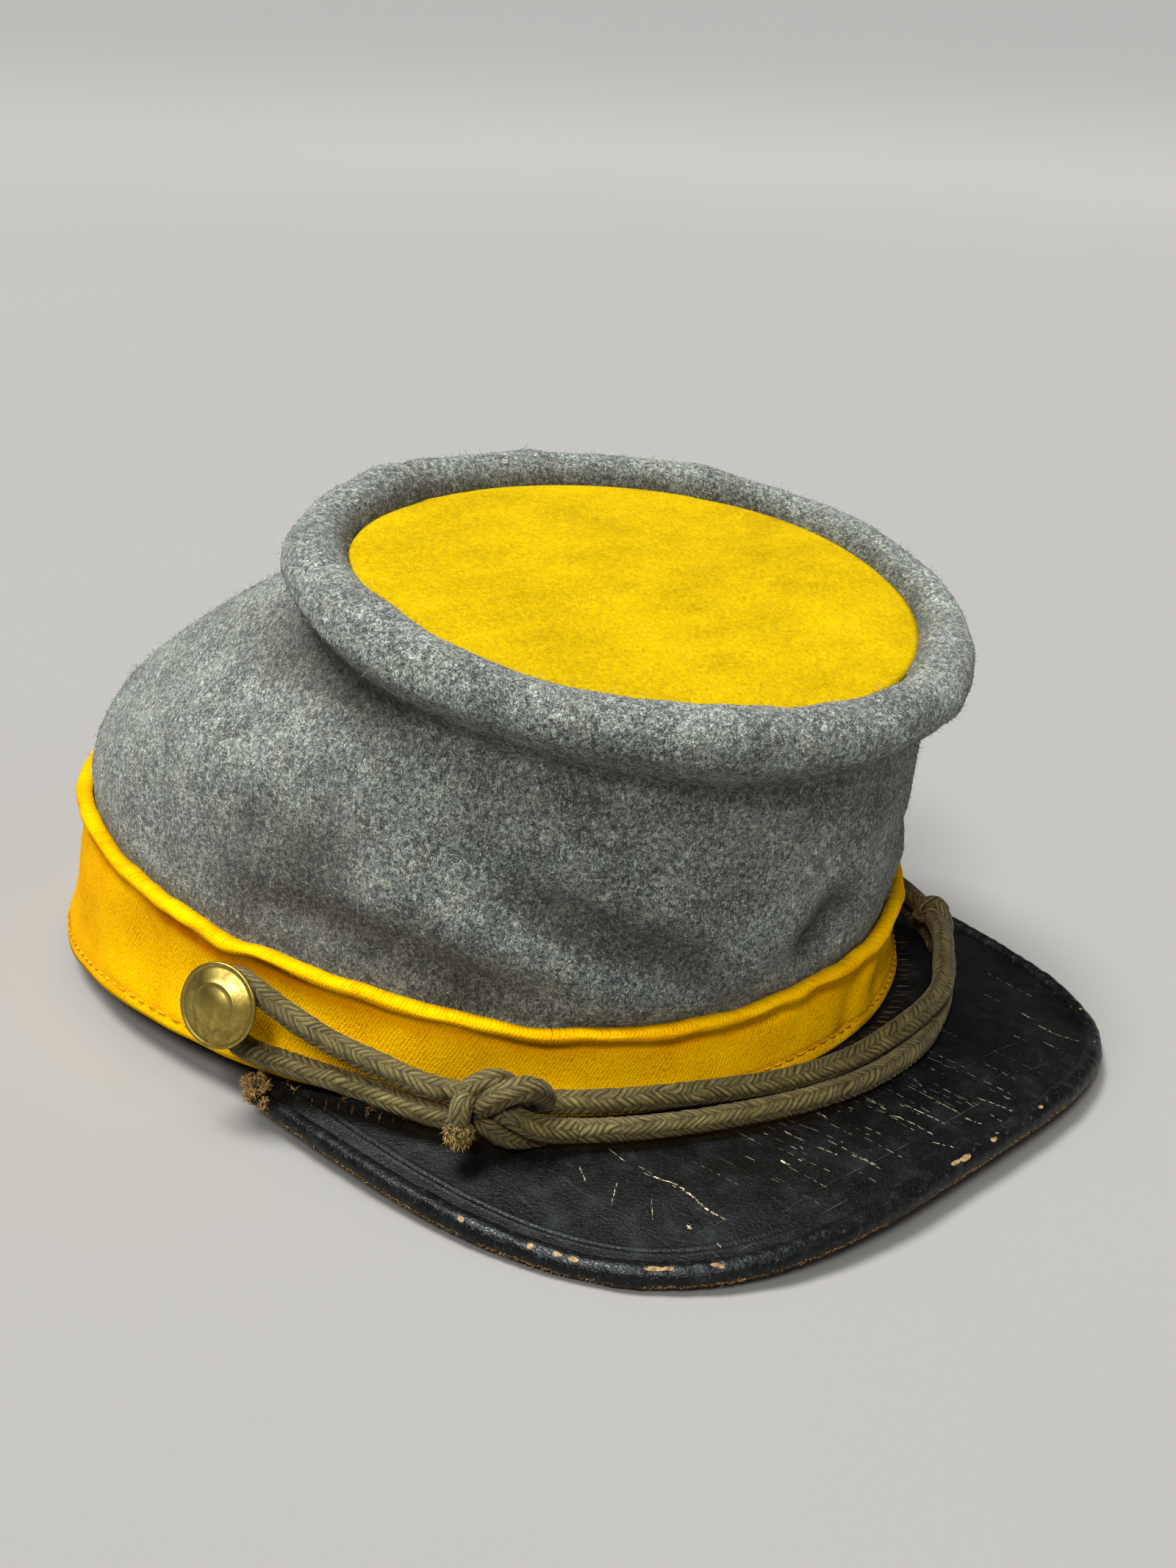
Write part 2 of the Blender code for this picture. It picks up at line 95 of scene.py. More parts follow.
def smoothRoute(points, steps):
    # Catmull-Rom curve: each stretch is the cubic that its four nearest points give
    points = np.asarray(points, float)
    ends = np.vstack([2 * points[0] - points[1], points, 2 * points[-1] - points[-2]])
    before, start, end, after = (ends[k:len(ends) - 3 + k, None] for k in range(4))
    t = (np.arange(steps) / steps)[None, :, None]
    curve = start + t * (end - before) / 2
    curve = curve + t**2 * (before - 2.5 * start + 2 * end - 0.5 * after)
    curve = curve + t**3 * (3 * (start - end) + after - before) / 2
    return np.vstack([curve.reshape(-1, 3), points[-1]])


def runLength(path):
    # length along a line up to each of its points
    return np.concatenate([[0.0], np.cumsum(np.linalg.norm(np.diff(path, axis=0), axis=1))])


def atRun(path, want):
    # places at given lengths along a line
    run = runLength(path)
    return np.column_stack([np.interp(want, run, path[:, k]) for k in range(path.shape[1])])


def evenPlaces(path, count):
    # so many places at even lengths along a line
    return atRun(path, np.linspace(0.0, runLength(path)[-1], count))


def evenSteps(path, step):
    # places about one step apart along a line
    return evenPlaces(path, max(2, round(runLength(path)[-1] / step) + 1))


def gridNormals(grid):
    # cross product of the steps round and along a grid whose columns run round
    across = np.roll(grid, -1, axis=1) - np.roll(grid, 1, axis=1)
    return unit(np.cross(across, np.gradient(grid, axis=0)))


def pushedOut(grid, height):
    # grid moved along its own normals
    return grid + gridNormals(grid) * height[..., None]


def withHeight(flat, height):
    # places seen from above, with their heights
    return np.concatenate([flat, np.broadcast_to(height, flat.shape[:-1])[..., None]], axis=-1)


def spokes(first, second, turns):
    # directions round the circle that two directions at right angles span
    return first[..., None, :] * np.cos(turns)[:, None] + second[..., None, :] * np.sin(turns)[:, None]


def tubeGrid(path, radius, sides):
    # circle carried along a path with no twist; radius may differ from ring to ring and round it
    along = unit(np.gradient(path, axis=0))
    side = np.zeros_like(along)
    start = np.cross(upright, along[0])
    side[0] = unit(start if np.linalg.norm(start) > 0.1 else np.cross([1.0, 0.0, 0.0], along[0]))
    for k in range(1, len(path)):
        carried = side[k - 1] - along[k] * (side[k - 1] @ along[k])
        side[k] = carried / np.linalg.norm(carried)
    reach = np.broadcast_to(radius, (len(path), sides))[..., None]
    return path[:, None] + spokes(side, np.cross(along, side), anglesRound(sides)) * reach


def newMesh(name, points, *faces, **values):
    # mesh from places and one array of faces for each number of corners; values are its attributes
    mesh = bpy.data.meshes.new(name)
    points = points.reshape(-1, 3)
    corners = np.concatenate([rows.ravel() for rows in faces])
    counts = np.concatenate([np.full(len(rows), rows.shape[1]) for rows in faces])
    mesh.vertices.add(len(points))
    mesh.vertices.foreach_set("co", points.astype(np.float32).ravel())
    mesh.loops.add(len(corners))
    mesh.loops.foreach_set("vertex_index", corners.astype(np.int32))
    mesh.polygons.add(len(counts))
    mesh.polygons.foreach_set("loop_start", (np.cumsum(counts) - counts).astype(np.int32))
    mesh.update(calc_edges=True)
    for label, value in values.items():
        made = mesh.attributes.new(label, "FLOAT", "POINT")
        made.data.foreach_set("value", value.astype(np.float32).ravel())
    return mesh


def ringQuads(rings, sides):
    # faces between rings of the same number of points
    j, i = np.indices((rings - 1, sides))
    after = (i + 1) % sides
    rows = [j * sides + i, (j + 1) * sides + i, (j + 1) * sides + after, j * sides + after]
    return np.stack(rows, -1).reshape(-1, 4)


def repeated(faces, count, step):
    # the same faces again for each of many alike shapes of so many points
    return (np.arange(count)[:, None, None] * step + faces[None]).reshape(-1, faces.shape[1])


def gridMesh(name, grid, loop=False, caps=False, uv=None, **values):
    # quads between neighbours of a grid whose columns run round; loop joins the last row to the
    # first, and caps closes both end rows, each with a fan about its middle
    rows, columns = grid.shape[:2]
    j, i = np.indices((rows if loop else rows - 1, columns))
    below = (j + 1) % rows
    after = (i + 1) % columns
    quads = [j * columns + i, j * columns + after, below * columns + after, below * columns + i]
    faces = [np.stack(quads, -1).reshape(-1, 4)]
    points = grid.reshape(-1, 3)
    if caps:
        first = np.arange(columns)
        then = (first + 1) % columns
        last = (rows - 1) * columns
        low = np.column_stack([np.full(columns, rows * columns), then, first])
        high = np.column_stack([np.full(columns, rows * columns + 1), last + first, last + then])
        faces.append(np.vstack([low, high]))
        points = np.vstack([points, grid[0].mean(axis=0), grid[-1].mean(axis=0)])
        values = {label: np.append(value, [value[0, 0], value[-1, 0]]) for label, value in values.items()}
    mesh = newMesh(name, points, *faces, **values)
    if uv is not None:
        # the map has one more column than the grid, so that the last quad doesn't run back
        low = np.minimum(j + 1, len(uv) - 1)
        flat = uv[np.stack([j, j, low, low], -1), np.stack([i, i + 1, i + 1, i], -1)].reshape(-1, 2)
        flat = np.vstack([flat, np.zeros((len(mesh.loops) - len(flat), 2))])
        mesh.uv_layers.new(name="weave").data.foreach_set("uv", flat.astype(np.float32).ravel())
    return mesh


def addObject(data):
    made = bpy.data.objects.new(data.name, data)
    bpy.context.scene.collection.objects.link(made)
    return made


def addPiece(mesh, finish, *nodes, slot=None):
    # a piece of the cap in one finish, in place of the CAD nodes that it stands for
    piece = addObject(mesh)
    mesh.materials.append(finish)
    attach(piece, "root")
    if nodes:
        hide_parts(*nodes)
    return piece


class Flow:
    # what a socket gives out; sums, differences and products of flows become Math nodes

    def __init__(self, socket):
        self.socket = socket
        self.tree = socket.id_data

    def __add__(self, other):
        return maths("ADD", self, other)

    def __sub__(self, other):
        return maths("SUBTRACT", self, other)

    def __rsub__(self, other):
        return maths("SUBTRACT", other, self)

    def __mul__(self, other):
        return maths("MULTIPLY", self, other)


def feedSocket(socket, value):
    # a flow is linked, a colour gets its alpha, and anything else is set as it is
    if isinstance(value, Flow):
        socket.id_data.links.new(value.socket, socket)
    elif socket.type == "RGBA":
        socket.default_value = (*value, 1.0)
    else:
        socket.default_value = value


def addNode(tree, kind, feeds=None, gives=0, **settings):
    # one node, with a value or a flow for each socket that feeds names; gives names the flow out
    made = tree.nodes.new("ShaderNode" + kind)
    for key, value in settings.items():
        setattr(made, key, value)
    for key, value in (feeds or {}).items():
        feedSocket(made.inputs[key], value)
    return Flow(made.outputs[gives])


def maths(operation, *values, clamp=False):
    # one Math node; each value is a flow or a number
    tree = next(value.tree for value in values if isinstance(value, Flow))
    return addNode(tree, "Math", dict(enumerate(values)), operation=operation, use_clamp=clamp)


def between(flow, low, high, top=1.0, **settings):
    # 0 below one value, top above another
    return addNode(flow.tree, "MapRange", {0: flow, 1: low, 2: high, 4: top}, **settings)


def ramp(flow, *stops):
    # colours along a tone; each stop is a place from 0 to 1, then a colour or a grey
    made = addNode(flow.tree, "ValToRGB", {0: flow})
    row = made.socket.node.color_ramp.elements
    while len(row) < len(stops):
        row.new(0.5)
    for element, (place, colour) in zip(row, stops):
        element.position = place
        element.color = (*colour, 1.0) if isinstance(colour, tuple) else (colour, colour, colour, 1.0)
    return made


def mixColour(factor, first, second, blend="MIX"):
    # first where the factor is 0, and second, or its product with first, where it is 1
    feeds = {"Factor": factor, 6: first, 7: second}
    return addNode(factor.tree, "Mix", feeds, 2, data_type="RGBA", blend_type=blend)


def noiseAt(place, scale, detail=3.0, rough=0.6, distort=0.0):
    # noise from 0 to 1, about scale humps a metre
    feeds = {"Vector": place, "Scale": scale, "Detail": detail, "Roughness": rough, "Distortion": distort}
    return addNode(place.tree, "TexNoise", feeds, "Fac")


def stretched(place, turn, scale):
    return addNode(place.tree, "Mapping", {"Vector": place, "Rotation": turn, "Scale": scale})


def scaled(place, size):
    return addNode(place.tree, "VectorMath", {0: place, 3: size}, operation="SCALE")


def split(place):
    # x, y and z of a place
    made = addNode(place.tree, "SeparateXYZ", {0: place})
    return [Flow(socket) for socket in made.socket.node.outputs]


def newGroup(name, make, **feeds):
    # node group with a named input for each of feeds (None is a vector) and an output for each
    # flow that make gives back
    tree = bpy.data.node_groups.new(name, "ShaderNodeTree")
    for label, default in feeds.items():
        kind = "NodeSocketVector" if default is None else "NodeSocketFloat"
        made = tree.interface.new_socket(label, in_out="INPUT", socket_type=kind)
        if default is not None:
            made.default_value = default
    source = tree.nodes.new("NodeGroupInput")
    found = make(*(Flow(source.outputs[label]) for label in feeds))
    for label in found:
        tree.interface.new_socket(label, in_out="OUTPUT", socket_type="NodeSocketFloat")
    sink = tree.nodes.new("NodeGroupOutput")
    for label, flow in found.items():
        feedSocket(sink.inputs[label], flow)
    return tree


def useGroup(material, group, **feeds):
    # the group's outputs by their names
    made = material.node_tree.nodes.new("ShaderNodeGroup")
    made.node_tree = group
    for label, value in feeds.items():
        feedSocket(made.inputs[label], value)
    return {socket.name: Flow(socket) for socket in made.outputs}


def newFinish(name, **fixed):
    # a material; fixed holds what is the same all over the surface
    made = bpy.data.materials.new(name)
    made.use_nodes = True
    feedShader(made, **fixed)
    return made


def feedShader(material, **feeds):
    shader = material.node_tree.nodes["Principled BSDF"]
    for label, value in feeds.items():
        feedSocket(shader.inputs[label.replace("_", " ")], value)


def paint(material, colour, bump=None, **more):
    # colour and other flows into the shader; bump is a height, its strength and its distance
    if bump:
        more["Normal"] = addNode(colour.tree, "Bump", dict(zip(("Height", "Strength", "Distance"), bump)))
    feedShader(material, Base_Color=colour, **more)
    return material


def objectPlace(material):
    return addNode(material.node_tree, "TexCoord", gives="Object")


def attributeOf(material, name):
    # a value that each point of the mesh carries
    return addNode(material.node_tree, "Attribute", gives="Fac", attribute_name=name)


def weaveMap(material):
    # the piece's own map
    return addNode(material.node_tree, "UVMap", uv_map="weave")


def makeFibreFinish(name, *stops):
    # loose fibres and threads: each has one tone out of the colours given
    made = newFinish(name, Roughness=0.9, Sheen_Weight=0.05, Specular_IOR_Level=0.2)
    return paint(made, ramp(attributeOf(made, "tone"), *stops))


def scatter(grid, normals, count, dice):
    # random places on a grid, each cell chosen as often as it is large, with the cell's normal
    right = np.roll(grid, -1, axis=1)[:-1] - grid[:-1]
    up = grid[1:] - grid[:-1]
    areas = np.linalg.norm(np.cross(right, up), axis=-1).ravel()
    cell = dice.choice(len(areas), count, p=areas / areas.sum())
    j, i = np.divmod(cell, grid.shape[1])
    s = dice.random(count)[:, None]
    t = dice.random(count)[:, None]
    return grid[j, i] + right[j, i] * s + up[j, i] * t, normals[j, i]


def fibreMesh(name, place, normal, way, size, thick, curl, dice):
    # bent needles: a three-cornered foot, a three-cornered middle moved to one side, and a tip
    count = len(place)
    first = unit(np.cross(way, normal))
    ring = spokes(first, np.cross(way, first), anglesRound(3))
    base = place - normal * 0.00005
    bend = unit(np.cross(normal, way)) * dice.choice([-1.0, 1.0], count)[:, None] * size * curl
    middle = base + way * size * 0.5 + bend
    tip = base + way * size * (1 - curl) - bend * 0.3
    rings = [base[:, None] + ring * thick, middle[:, None] + ring * thick * 0.8, tip[:, None]]
    faces = np.array([[0, 2, 1], [0, 1, 4], [0, 4, 3], [1, 2, 5], [1, 5, 4], [2, 0, 3], [2, 3, 5],
                      [3, 4, 6], [4, 5, 6], [5, 3, 6]])
    tone = np.repeat(dice.random(count), 7)
    return newMesh(name, np.concatenate(rings, axis=1), repeated(faces, count, 7), tone=tone)


def addFibres(name, grid, normals, finish, slot, count, length, thick, seed, lift, curl, lean=0.0):
    # fibres over a grid: lift is how far they stand up, lean is added to their direction
    dice = np.random.default_rng(seed)
    place, normal = scatter(grid, normals, count, dice)
    flat = unit(np.cross(normal, dice.normal(size=(count, 3))))
    raised = dice.uniform(*lift, count)[:, None] ** 2
    way = unit(flat + normal * raised + lean)
    size = length * dice.uniform(0.5, 1.4, count)[:, None]
    return addPiece(fibreMesh(name, place, normal, way, size, thick, curl, dice), finish, slot=slot)


def towards(turn, rise):
    # direction to a viewer or a light: degrees round from the front, and degrees up
    turn = math.radians(turn)
    rise = math.radians(rise)
    return np.array([math.sin(turn) * math.cos(rise), -math.cos(turn) * math.cos(rise), math.sin(rise)])


def stand(thing, right, up, back, place):
    # the three axes of a camera or a light, and its place
    matrix = np.eye(4)
    matrix[:3] = np.column_stack([right, up, back, place])
    thing.matrix_world = matrix.T.tolist()


viewpoint = {
    "target": (0.00528, -0.00678, 0.04608),
    "turn": -46.5,
    "rise": 21.18,
    "tilt": 2.43,
    "distance": 0.4166,
    "focalPixels": 2616.3,
    "imageWidth": 1600,
}


def addCamera():
    # camera round the target, turned about its own line of sight by the tilt
    back = towards(viewpoint["turn"], viewpoint["rise"])
    turn = math.radians(viewpoint["turn"])
    tilt = math.radians(viewpoint["tilt"])
    level = np.array([math.cos(turn), math.sin(turn), 0.0])
    above = np.cross(back, level)
    data = bpy.data.cameras.new("view")
    data.sensor_fit = "HORIZONTAL"
    data.sensor_width = 36.0
    data.lens = viewpoint["focalPixels"] / viewpoint["imageWidth"] * data.sensor_width
    camera = addObject(data)
    right = level * math.cos(tilt) + above * math.sin(tilt)
    up = above * math.cos(tilt) - level * math.sin(tilt)
    stand(camera, right, up, back, np.array(viewpoint["target"]) + back * viewpoint["distance"])
    bpy.context.scene.camera = camera


addCamera()
bpy.context.view_layer.update()

braid = {
    "radius": 0.00225,
    "columns": 6,  # rows of plaits round the cord, leaning left and right by turns
    "pitch": 0.00152,  # from one plait to the next, along the cord
    "lean": 1.7,  # how far a plait runs along the cord in one column, in pitches
    "relief": 0.00026,
    "wander": (0.16, 0.30),  # how far the plaits stray from even columns and steps
    "sides": 36,
    "step": 0.00030,
    "colours": ((0.06, (0.013, 0.009, 0.002)), (0.40, (0.078, 0.061, 0.016)),
                (0.70, (0.178, 0.147, 0.049)), (0.97, (0.38, 0.32, 0.135))),
}


def plaitRelief(column, along):
    # each column holds leaning plaits, rounded across and drawn in where columns meet
    lean = np.where(np.floor(column) % 2 < 1, 1.0, -1.0)
    inside = column - np.floor(column)
    stripe = (along + lean * (inside - 0.5) * braid["lean"]) % 1.0
    across = 1 - np.abs(2 * stripe - 1) ** 2.5
    return across * (0.30 + 0.70 * np.sqrt(np.clip(4 * inside * (1 - inside), 0, 1)))


def plaitFlows(weave):
    # the same plaits for the material, with fine threads that follow each plait
    across, along, _ = split(weave)
    column = maths("FLOOR", across)
    lean = 1.0 - maths("MODULO", column, 2.0) * 2.0
    inside = maths("FRACT", across)
    run = along + (inside - 0.5) * braid["lean"] * lean
    stripe = maths("FRACT", run)
    rounded = 1.0 - maths("POWER", maths("ABSOLUTE", stripe * 2.0 - 1.0), 2.5)
    belly = maths("SQRT", maths("MAXIMUM", inside * 4.0 * (1.0 - inside), 0.0))
    plait = rounded * (belly * 0.70 + 0.30)
    thread = maths("SINE", stripe * (2 * math.pi * 4)) * 0.5 + 0.5
    which = column * 7.31 + maths("FLOOR", run * 4.0)
    tint = addNode(weave.tree, "TexWhiteNoise", {"W": which}, "Value", noise_dimensions="1D")
    return {"Plait": plait, "Thread": thread, "Tint": tint, "Height": plait + thread * 0.35}


def makeBraidFinish():
    # tone from plaits, threads and their tints, with blots and specks on top
    made = newFinish("olive_braid", Roughness=0.7, Sheen_Weight=0.12, Sheen_Roughness=0.4)
    plait = useGroup(made, newGroup("plaitedThreads", plaitFlows, Weave=None), Weave=weaveMap(made))
    place = objectPlace(made)
    tone = plait["Plait"] * 0.38 + plait["Thread"] * 0.14 + plait["Tint"] * 0.30
    tone = tone + (noiseAt(place, 170.0) - 0.5) * 0.35 + (noiseAt(place, 1500.0, 2.0) - 0.5) * 0.5
    return paint(made, ramp(tone, *braid["colours"]), (plait["Height"], 0.7, 0.00020))


def braidedTube(name, path, finish, thick=1.0, shift=0.0):
    # tube along a path, its radius raised by the plaits; thick is a share of the cord's radius
    path = evenSteps(path, braid["step"])
    radius = braid["radius"] * thick
    plain = tubeGrid(path, radius, braid["sides"])
    plain = np.concatenate([plain, plain[:, :1]], axis=1)
    # the plaits wander a little, in the relief and on the map alike
    column = np.arange(braid["sides"] + 1)[None] * braid["columns"] / braid["sides"] + shift
    column = column + softNoise(plain, 0.0050, 63) * braid["wander"][0]
    run = runLength(path)[:, None] / braid["pitch"] + softNoise(plain, 0.0034, 64) * braid["wander"][1]
    relief = plaitRelief(column, run) * braid["relief"] * (1 + 0.30 * softNoise(plain, 0.0022, 65))
    grid = tubeGrid(path, radius - braid["relief"] * 0.6 + relief[:, :-1], braid["sides"])
    uv = np.stack([column + 12.0, run + 3.0], axis=-1)
    return addPiece(gridMesh(name, grid, caps=True, uv=uv), finish), path


# Centre line of the cord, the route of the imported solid: from the right knot along the lower
# run, round the left button, back along the upper run, round the right button and to the knot.
cordRoute = [
    (-0.06504, -0.05608, 0.01169), (-0.05692, -0.06461, 0.01130), (-0.04802, -0.07175, 0.01130),
    (-0.03509, -0.07911, 0.01130), (-0.01737, -0.08642, 0.01130), (0.00000, -0.08975, 0.01120),
    (0.01769, -0.08850, 0.01110), (0.03285, -0.08299, 0.01110), (0.04633, -0.07548, 0.01110),
    (0.05612, -0.06900, 0.01100), (0.06367, -0.06112, 0.01100), (0.06909, -0.05152, 0.01100),
    (0.07590, -0.03833, 0.01100), (0.08150, -0.02446, 0.01240), (0.08603, -0.00969, 0.01530),
    (0.08680, -0.00445, 0.01630), (0.08680, -0.00085, 0.01930), (0.08680, 0.00035, 0.02350),
    (0.08680, -0.00045, 0.02710), (0.08680, -0.00365, 0.02890), (0.08663, -0.00711, 0.02960),
    (0.08491, -0.01391, 0.02500), (0.08252, -0.02123, 0.02060), (0.07863, -0.03047, 0.01720),
    (0.07352, -0.04069, 0.01580), (0.06824, -0.05082, 0.01590), (0.06298, -0.06039, 0.01580),
    (0.05553, -0.06819, 0.01590), (0.04604, -0.07495, 0.01600), (0.03285, -0.08299, 0.01600),
    (0.01730, -0.08603, 0.01530), (0.00000, -0.08505, 0.01330), (-0.01660, -0.08148, 0.01340),
    (-0.03331, -0.07443, 0.01410), (-0.04581, -0.06806, 0.01480), (-0.05511, -0.06234, 0.01550),
    (-0.06422, -0.05476, 0.01640), (-0.07210, -0.04461, 0.01740), (-0.07656, -0.03494, 0.01960),
    (-0.08100, -0.02516, 0.02240), (-0.08416, -0.01639, 0.02590), (-0.08663, -0.00711, 0.02960),
    (-0.08680, -0.00365, 0.02890), (-0.08680, -0.00045, 0.02710), (-0.08680, 0.00035, 0.02350),
    (-0.08680, -0.00085, 0.01930), (-0.08680, -0.00445, 0.01630), (-0.08603, -0.00969, 0.01530),
    (-0.08252, -0.02123, 0.01500), (-0.07854, -0.03134, 0.01420), (-0.07292, -0.04518, 0.01250),
    (-0.06559, -0.05550, 0.01171),
]

# Foot of the band, which every other place is given from.
foot = {
    "oval": (0.0866, 0.0970, 2.19, 0.02),  # half width, half length, squareness, wider behind by
    "back": 0.02095,  # its middle lies so far behind the middle of the whole cap
    "lift": {"front": 0.0083, "side": 0.0081, "back": -0.0006},
}


def oval(angle, halfWidth, halfLength, square, egg=0.0):
    # x = sin^(2/n) a, y = -cos^(2/n) b, and x grows towards the back by the share egg
    s = np.sin(angle)
    c = np.cos(angle)
    x = np.sign(s) * np.abs(s) ** (2 / square) * halfWidth
    y = -np.sign(c) * np.abs(c) ** (2 / square) * halfLength
    return np.stack([x * (1 + egg * y / halfLength), y], axis=-1)


def ovalNormal(angle, *shape):
    # the oval's own direction between two near points, turned a quarter to the right
    run = oval(angle + 0.01, *shape) - oval(angle - 0.01, *shape)
    return unit(np.stack([run[..., 1], -run[..., 0]], axis=-1))


def offFoot(angle, out):
    # the foot's oval moved outwards, seen from above
    flat = oval(angle, *foot["oval"]) + ovalNormal(angle, *foot["oval"]) * np.asarray(out)[..., None]
    return flat + [0.0, foot["back"]]


def hemHeight(angle):
    # the hem's height, which is never below the floor
    return np.maximum(around(foot["lift"], angle), 0.0)


def offBand(degrees, off, height):
    # place at an angle, a stand-off from the band's foot and a height, in millimetres
    flat = offFoot(np.radians(np.asarray(degrees, float)), np.asarray(off) * millimetre)
    return withHeight(flat, np.asarray(height) * millimetre)


# Strands of the knots: how thick each is, then its angles (degrees), stand-offs and heights (mm).
knotStrands = {
    "knot_right_wrap": (0.90, [
        (-47.8, 6.4, 12.8), (-47.9, 8.2, 15.0), (-47.7, 9.2, 16.8), (-47.5, 9.6, 18.6), (-47.0, 9.6, 20.3),
        (-46.2, 9.2, 21.6), (-45.2, 8.6, 22.2), (-44.1, 7.5, 21.8), (-43.0, 5.6, 20.0)]),
    "knot_right_bulge": (1.04, [
        (-46.7, 6.8, 15.0), (-45.5, 9.8, 17.8), (-44.1, 10.9, 19.9), (-42.7, 11.0, 21.3),
        (-41.3, 10.3, 21.7), (-40.2, 9.1, 20.9), (-39.3, 7.2, 18.9), (-38.8, 5.0, 16.2)]),
    "knot_right_under": (0.96, [
        (-46.7, 6.4, 15.0), (-45.7, 8.7, 14.4), (-44.4, 9.4, 12.9), (-43.1, 9.1, 11.4), (-41.8, 8.2, 10.4),
        (-40.3, 7.0, 10.0), (-38.8, 6.2, 9.9)]),
    "knot_right_over": (1.0, [
        (-44.6, 5.8, 15.6), (-43.4, 8.9, 16.4), (-42.1, 10.1, 15.8), (-40.6, 10.0, 14.2), (-38.9, 9.2, 12.8),
        (-37.2, 8.3, 11.9), (-35.4, 7.6, 11.4)]),
    "knot_left_wrap": (0.90, [
        (43.6, 7.4, 9.6), (43.2, 9.7, 11.2), (42.4, 10.3, 13.8), (41.6, 9.9, 16.6), (41.0, 8.4, 18.3),
        (40.8, 6.6, 17.8), (41.2, 5.4, 15.0)]),
    "knot_left_cross": (0.86, [
        (39.4, 7.8, 9.4), (38.9, 10.1, 11.4), (38.9, 10.5, 14.2), (39.6, 9.7, 16.8), (40.6, 8.0, 18.0),
        (41.8, 6.4, 16.8)]),
}
knotNodes = {"knot_right_wrap": "cord_knot_right", "knot_left_wrap": "cord_knot_left"}
cutEnd = {
    # angle (degrees), stand-off and height (mm) of each place
    "route": [(-46.9, 8.6, 18.6), (-47.2, 10.6, 19.3), (-47.5, 12.2, 19.0), (-47.6, 13.2, 17.6),
              (-47.7, 13.6, 15.6), (-47.7, 13.5, 13.4), (-47.7, 13.3, 12.2)],
    "neckThick": 0.88,  # as a share of the cord
    "neckEnds": 0.66,  # shares along the route: the braid ends, and the brush of loose ends starts
    "brushStarts": 0.50,
    "core": ((0.40, (0.012, 0.008, 0.002)), (0.50, (0.10, 0.065, 0.016)), (0.60, (0.34, 0.25, 0.08))),
    "threads": ((0.0, (0.05, 0.03, 0.008)), (0.4, (0.24, 0.16, 0.045)), (1.0, (0.58, 0.44, 0.19))),
}


def makeCutEnd(finish):
    # braided neck, then a brush of loose thread ends that opens out towards the cut
    path = evenSteps(smoothRoute(offBand(*np.array(cutEnd["route"]).T), 16), braid["step"])
    neck = path[:int(len(path) * cutEnd["neckEnds"])]
    made = [braidedTube("cord_end_neck", neck, finish, cutEnd["neckThick"])[0]]
    path = path[int(len(path) * cutEnd["brushStarts"]):]
    share = np.linspace(0.0, 1.0, len(path))[:, None]
    opened = 0.74 + 0.36 * ease((share - 0.10) / 0.40) - 0.34 * ease((share - 0.85) / 0.15)
    grid = tubeGrid(path, braid["radius"] * opened, 30)
    grid = pushedOut(grid, softNoise(grid, 0.0011, 71) * 0.00036 * ease((share - 0.15) / 0.3))
    core = newFinish("frayed_core", Roughness=0.9)
    specks = noiseAt(objectPlace(core), 1500.0, 2.0, 0.7, 1.0)
    paint(core, ramp(specks, *cutEnd["core"]), (specks, 1.0, 0.0006))
    made.append(addPiece(gridMesh("cord_cut_end", grid, caps=True), core, "cord_end"))
    shown = grid[int(len(grid) * 0.12):]
    threads = makeFibreFinish("frayed_thread_ends", *cutEnd["threads"])
    down = unit(path[-1] - path[len(path) // 2])
    made.append(addFibres("cord_cut_threads", shown, gridNormals(shown), threads, "cord_braid", 900, 0.0012,
                          0.00009, 72, (0.05, 0.9), 0.12, down * 1.4))
    return made


def makeCord():
    # knot strands, cut end and the whole loop of the cord
    finish = makeBraidFinish()
    strands = []
    for count, (name, (thick, rows)) in enumerate(knotStrands.items()):
        path = smoothRoute(offBand(*np.array(rows).T), 16)
        strands.append(braidedTube(name, path, finish, thick, 0.37 * count)[0])
        if name in knotNodes:
            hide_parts(knotNodes[name])
    strands += makeCutEnd(finish)
    cord, path = braidedTube("chin_cord_braid", smoothRoute(cordRoute, 12), finish)
    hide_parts("chin_cord")


makeCord()
print("kepi: cord and knots")

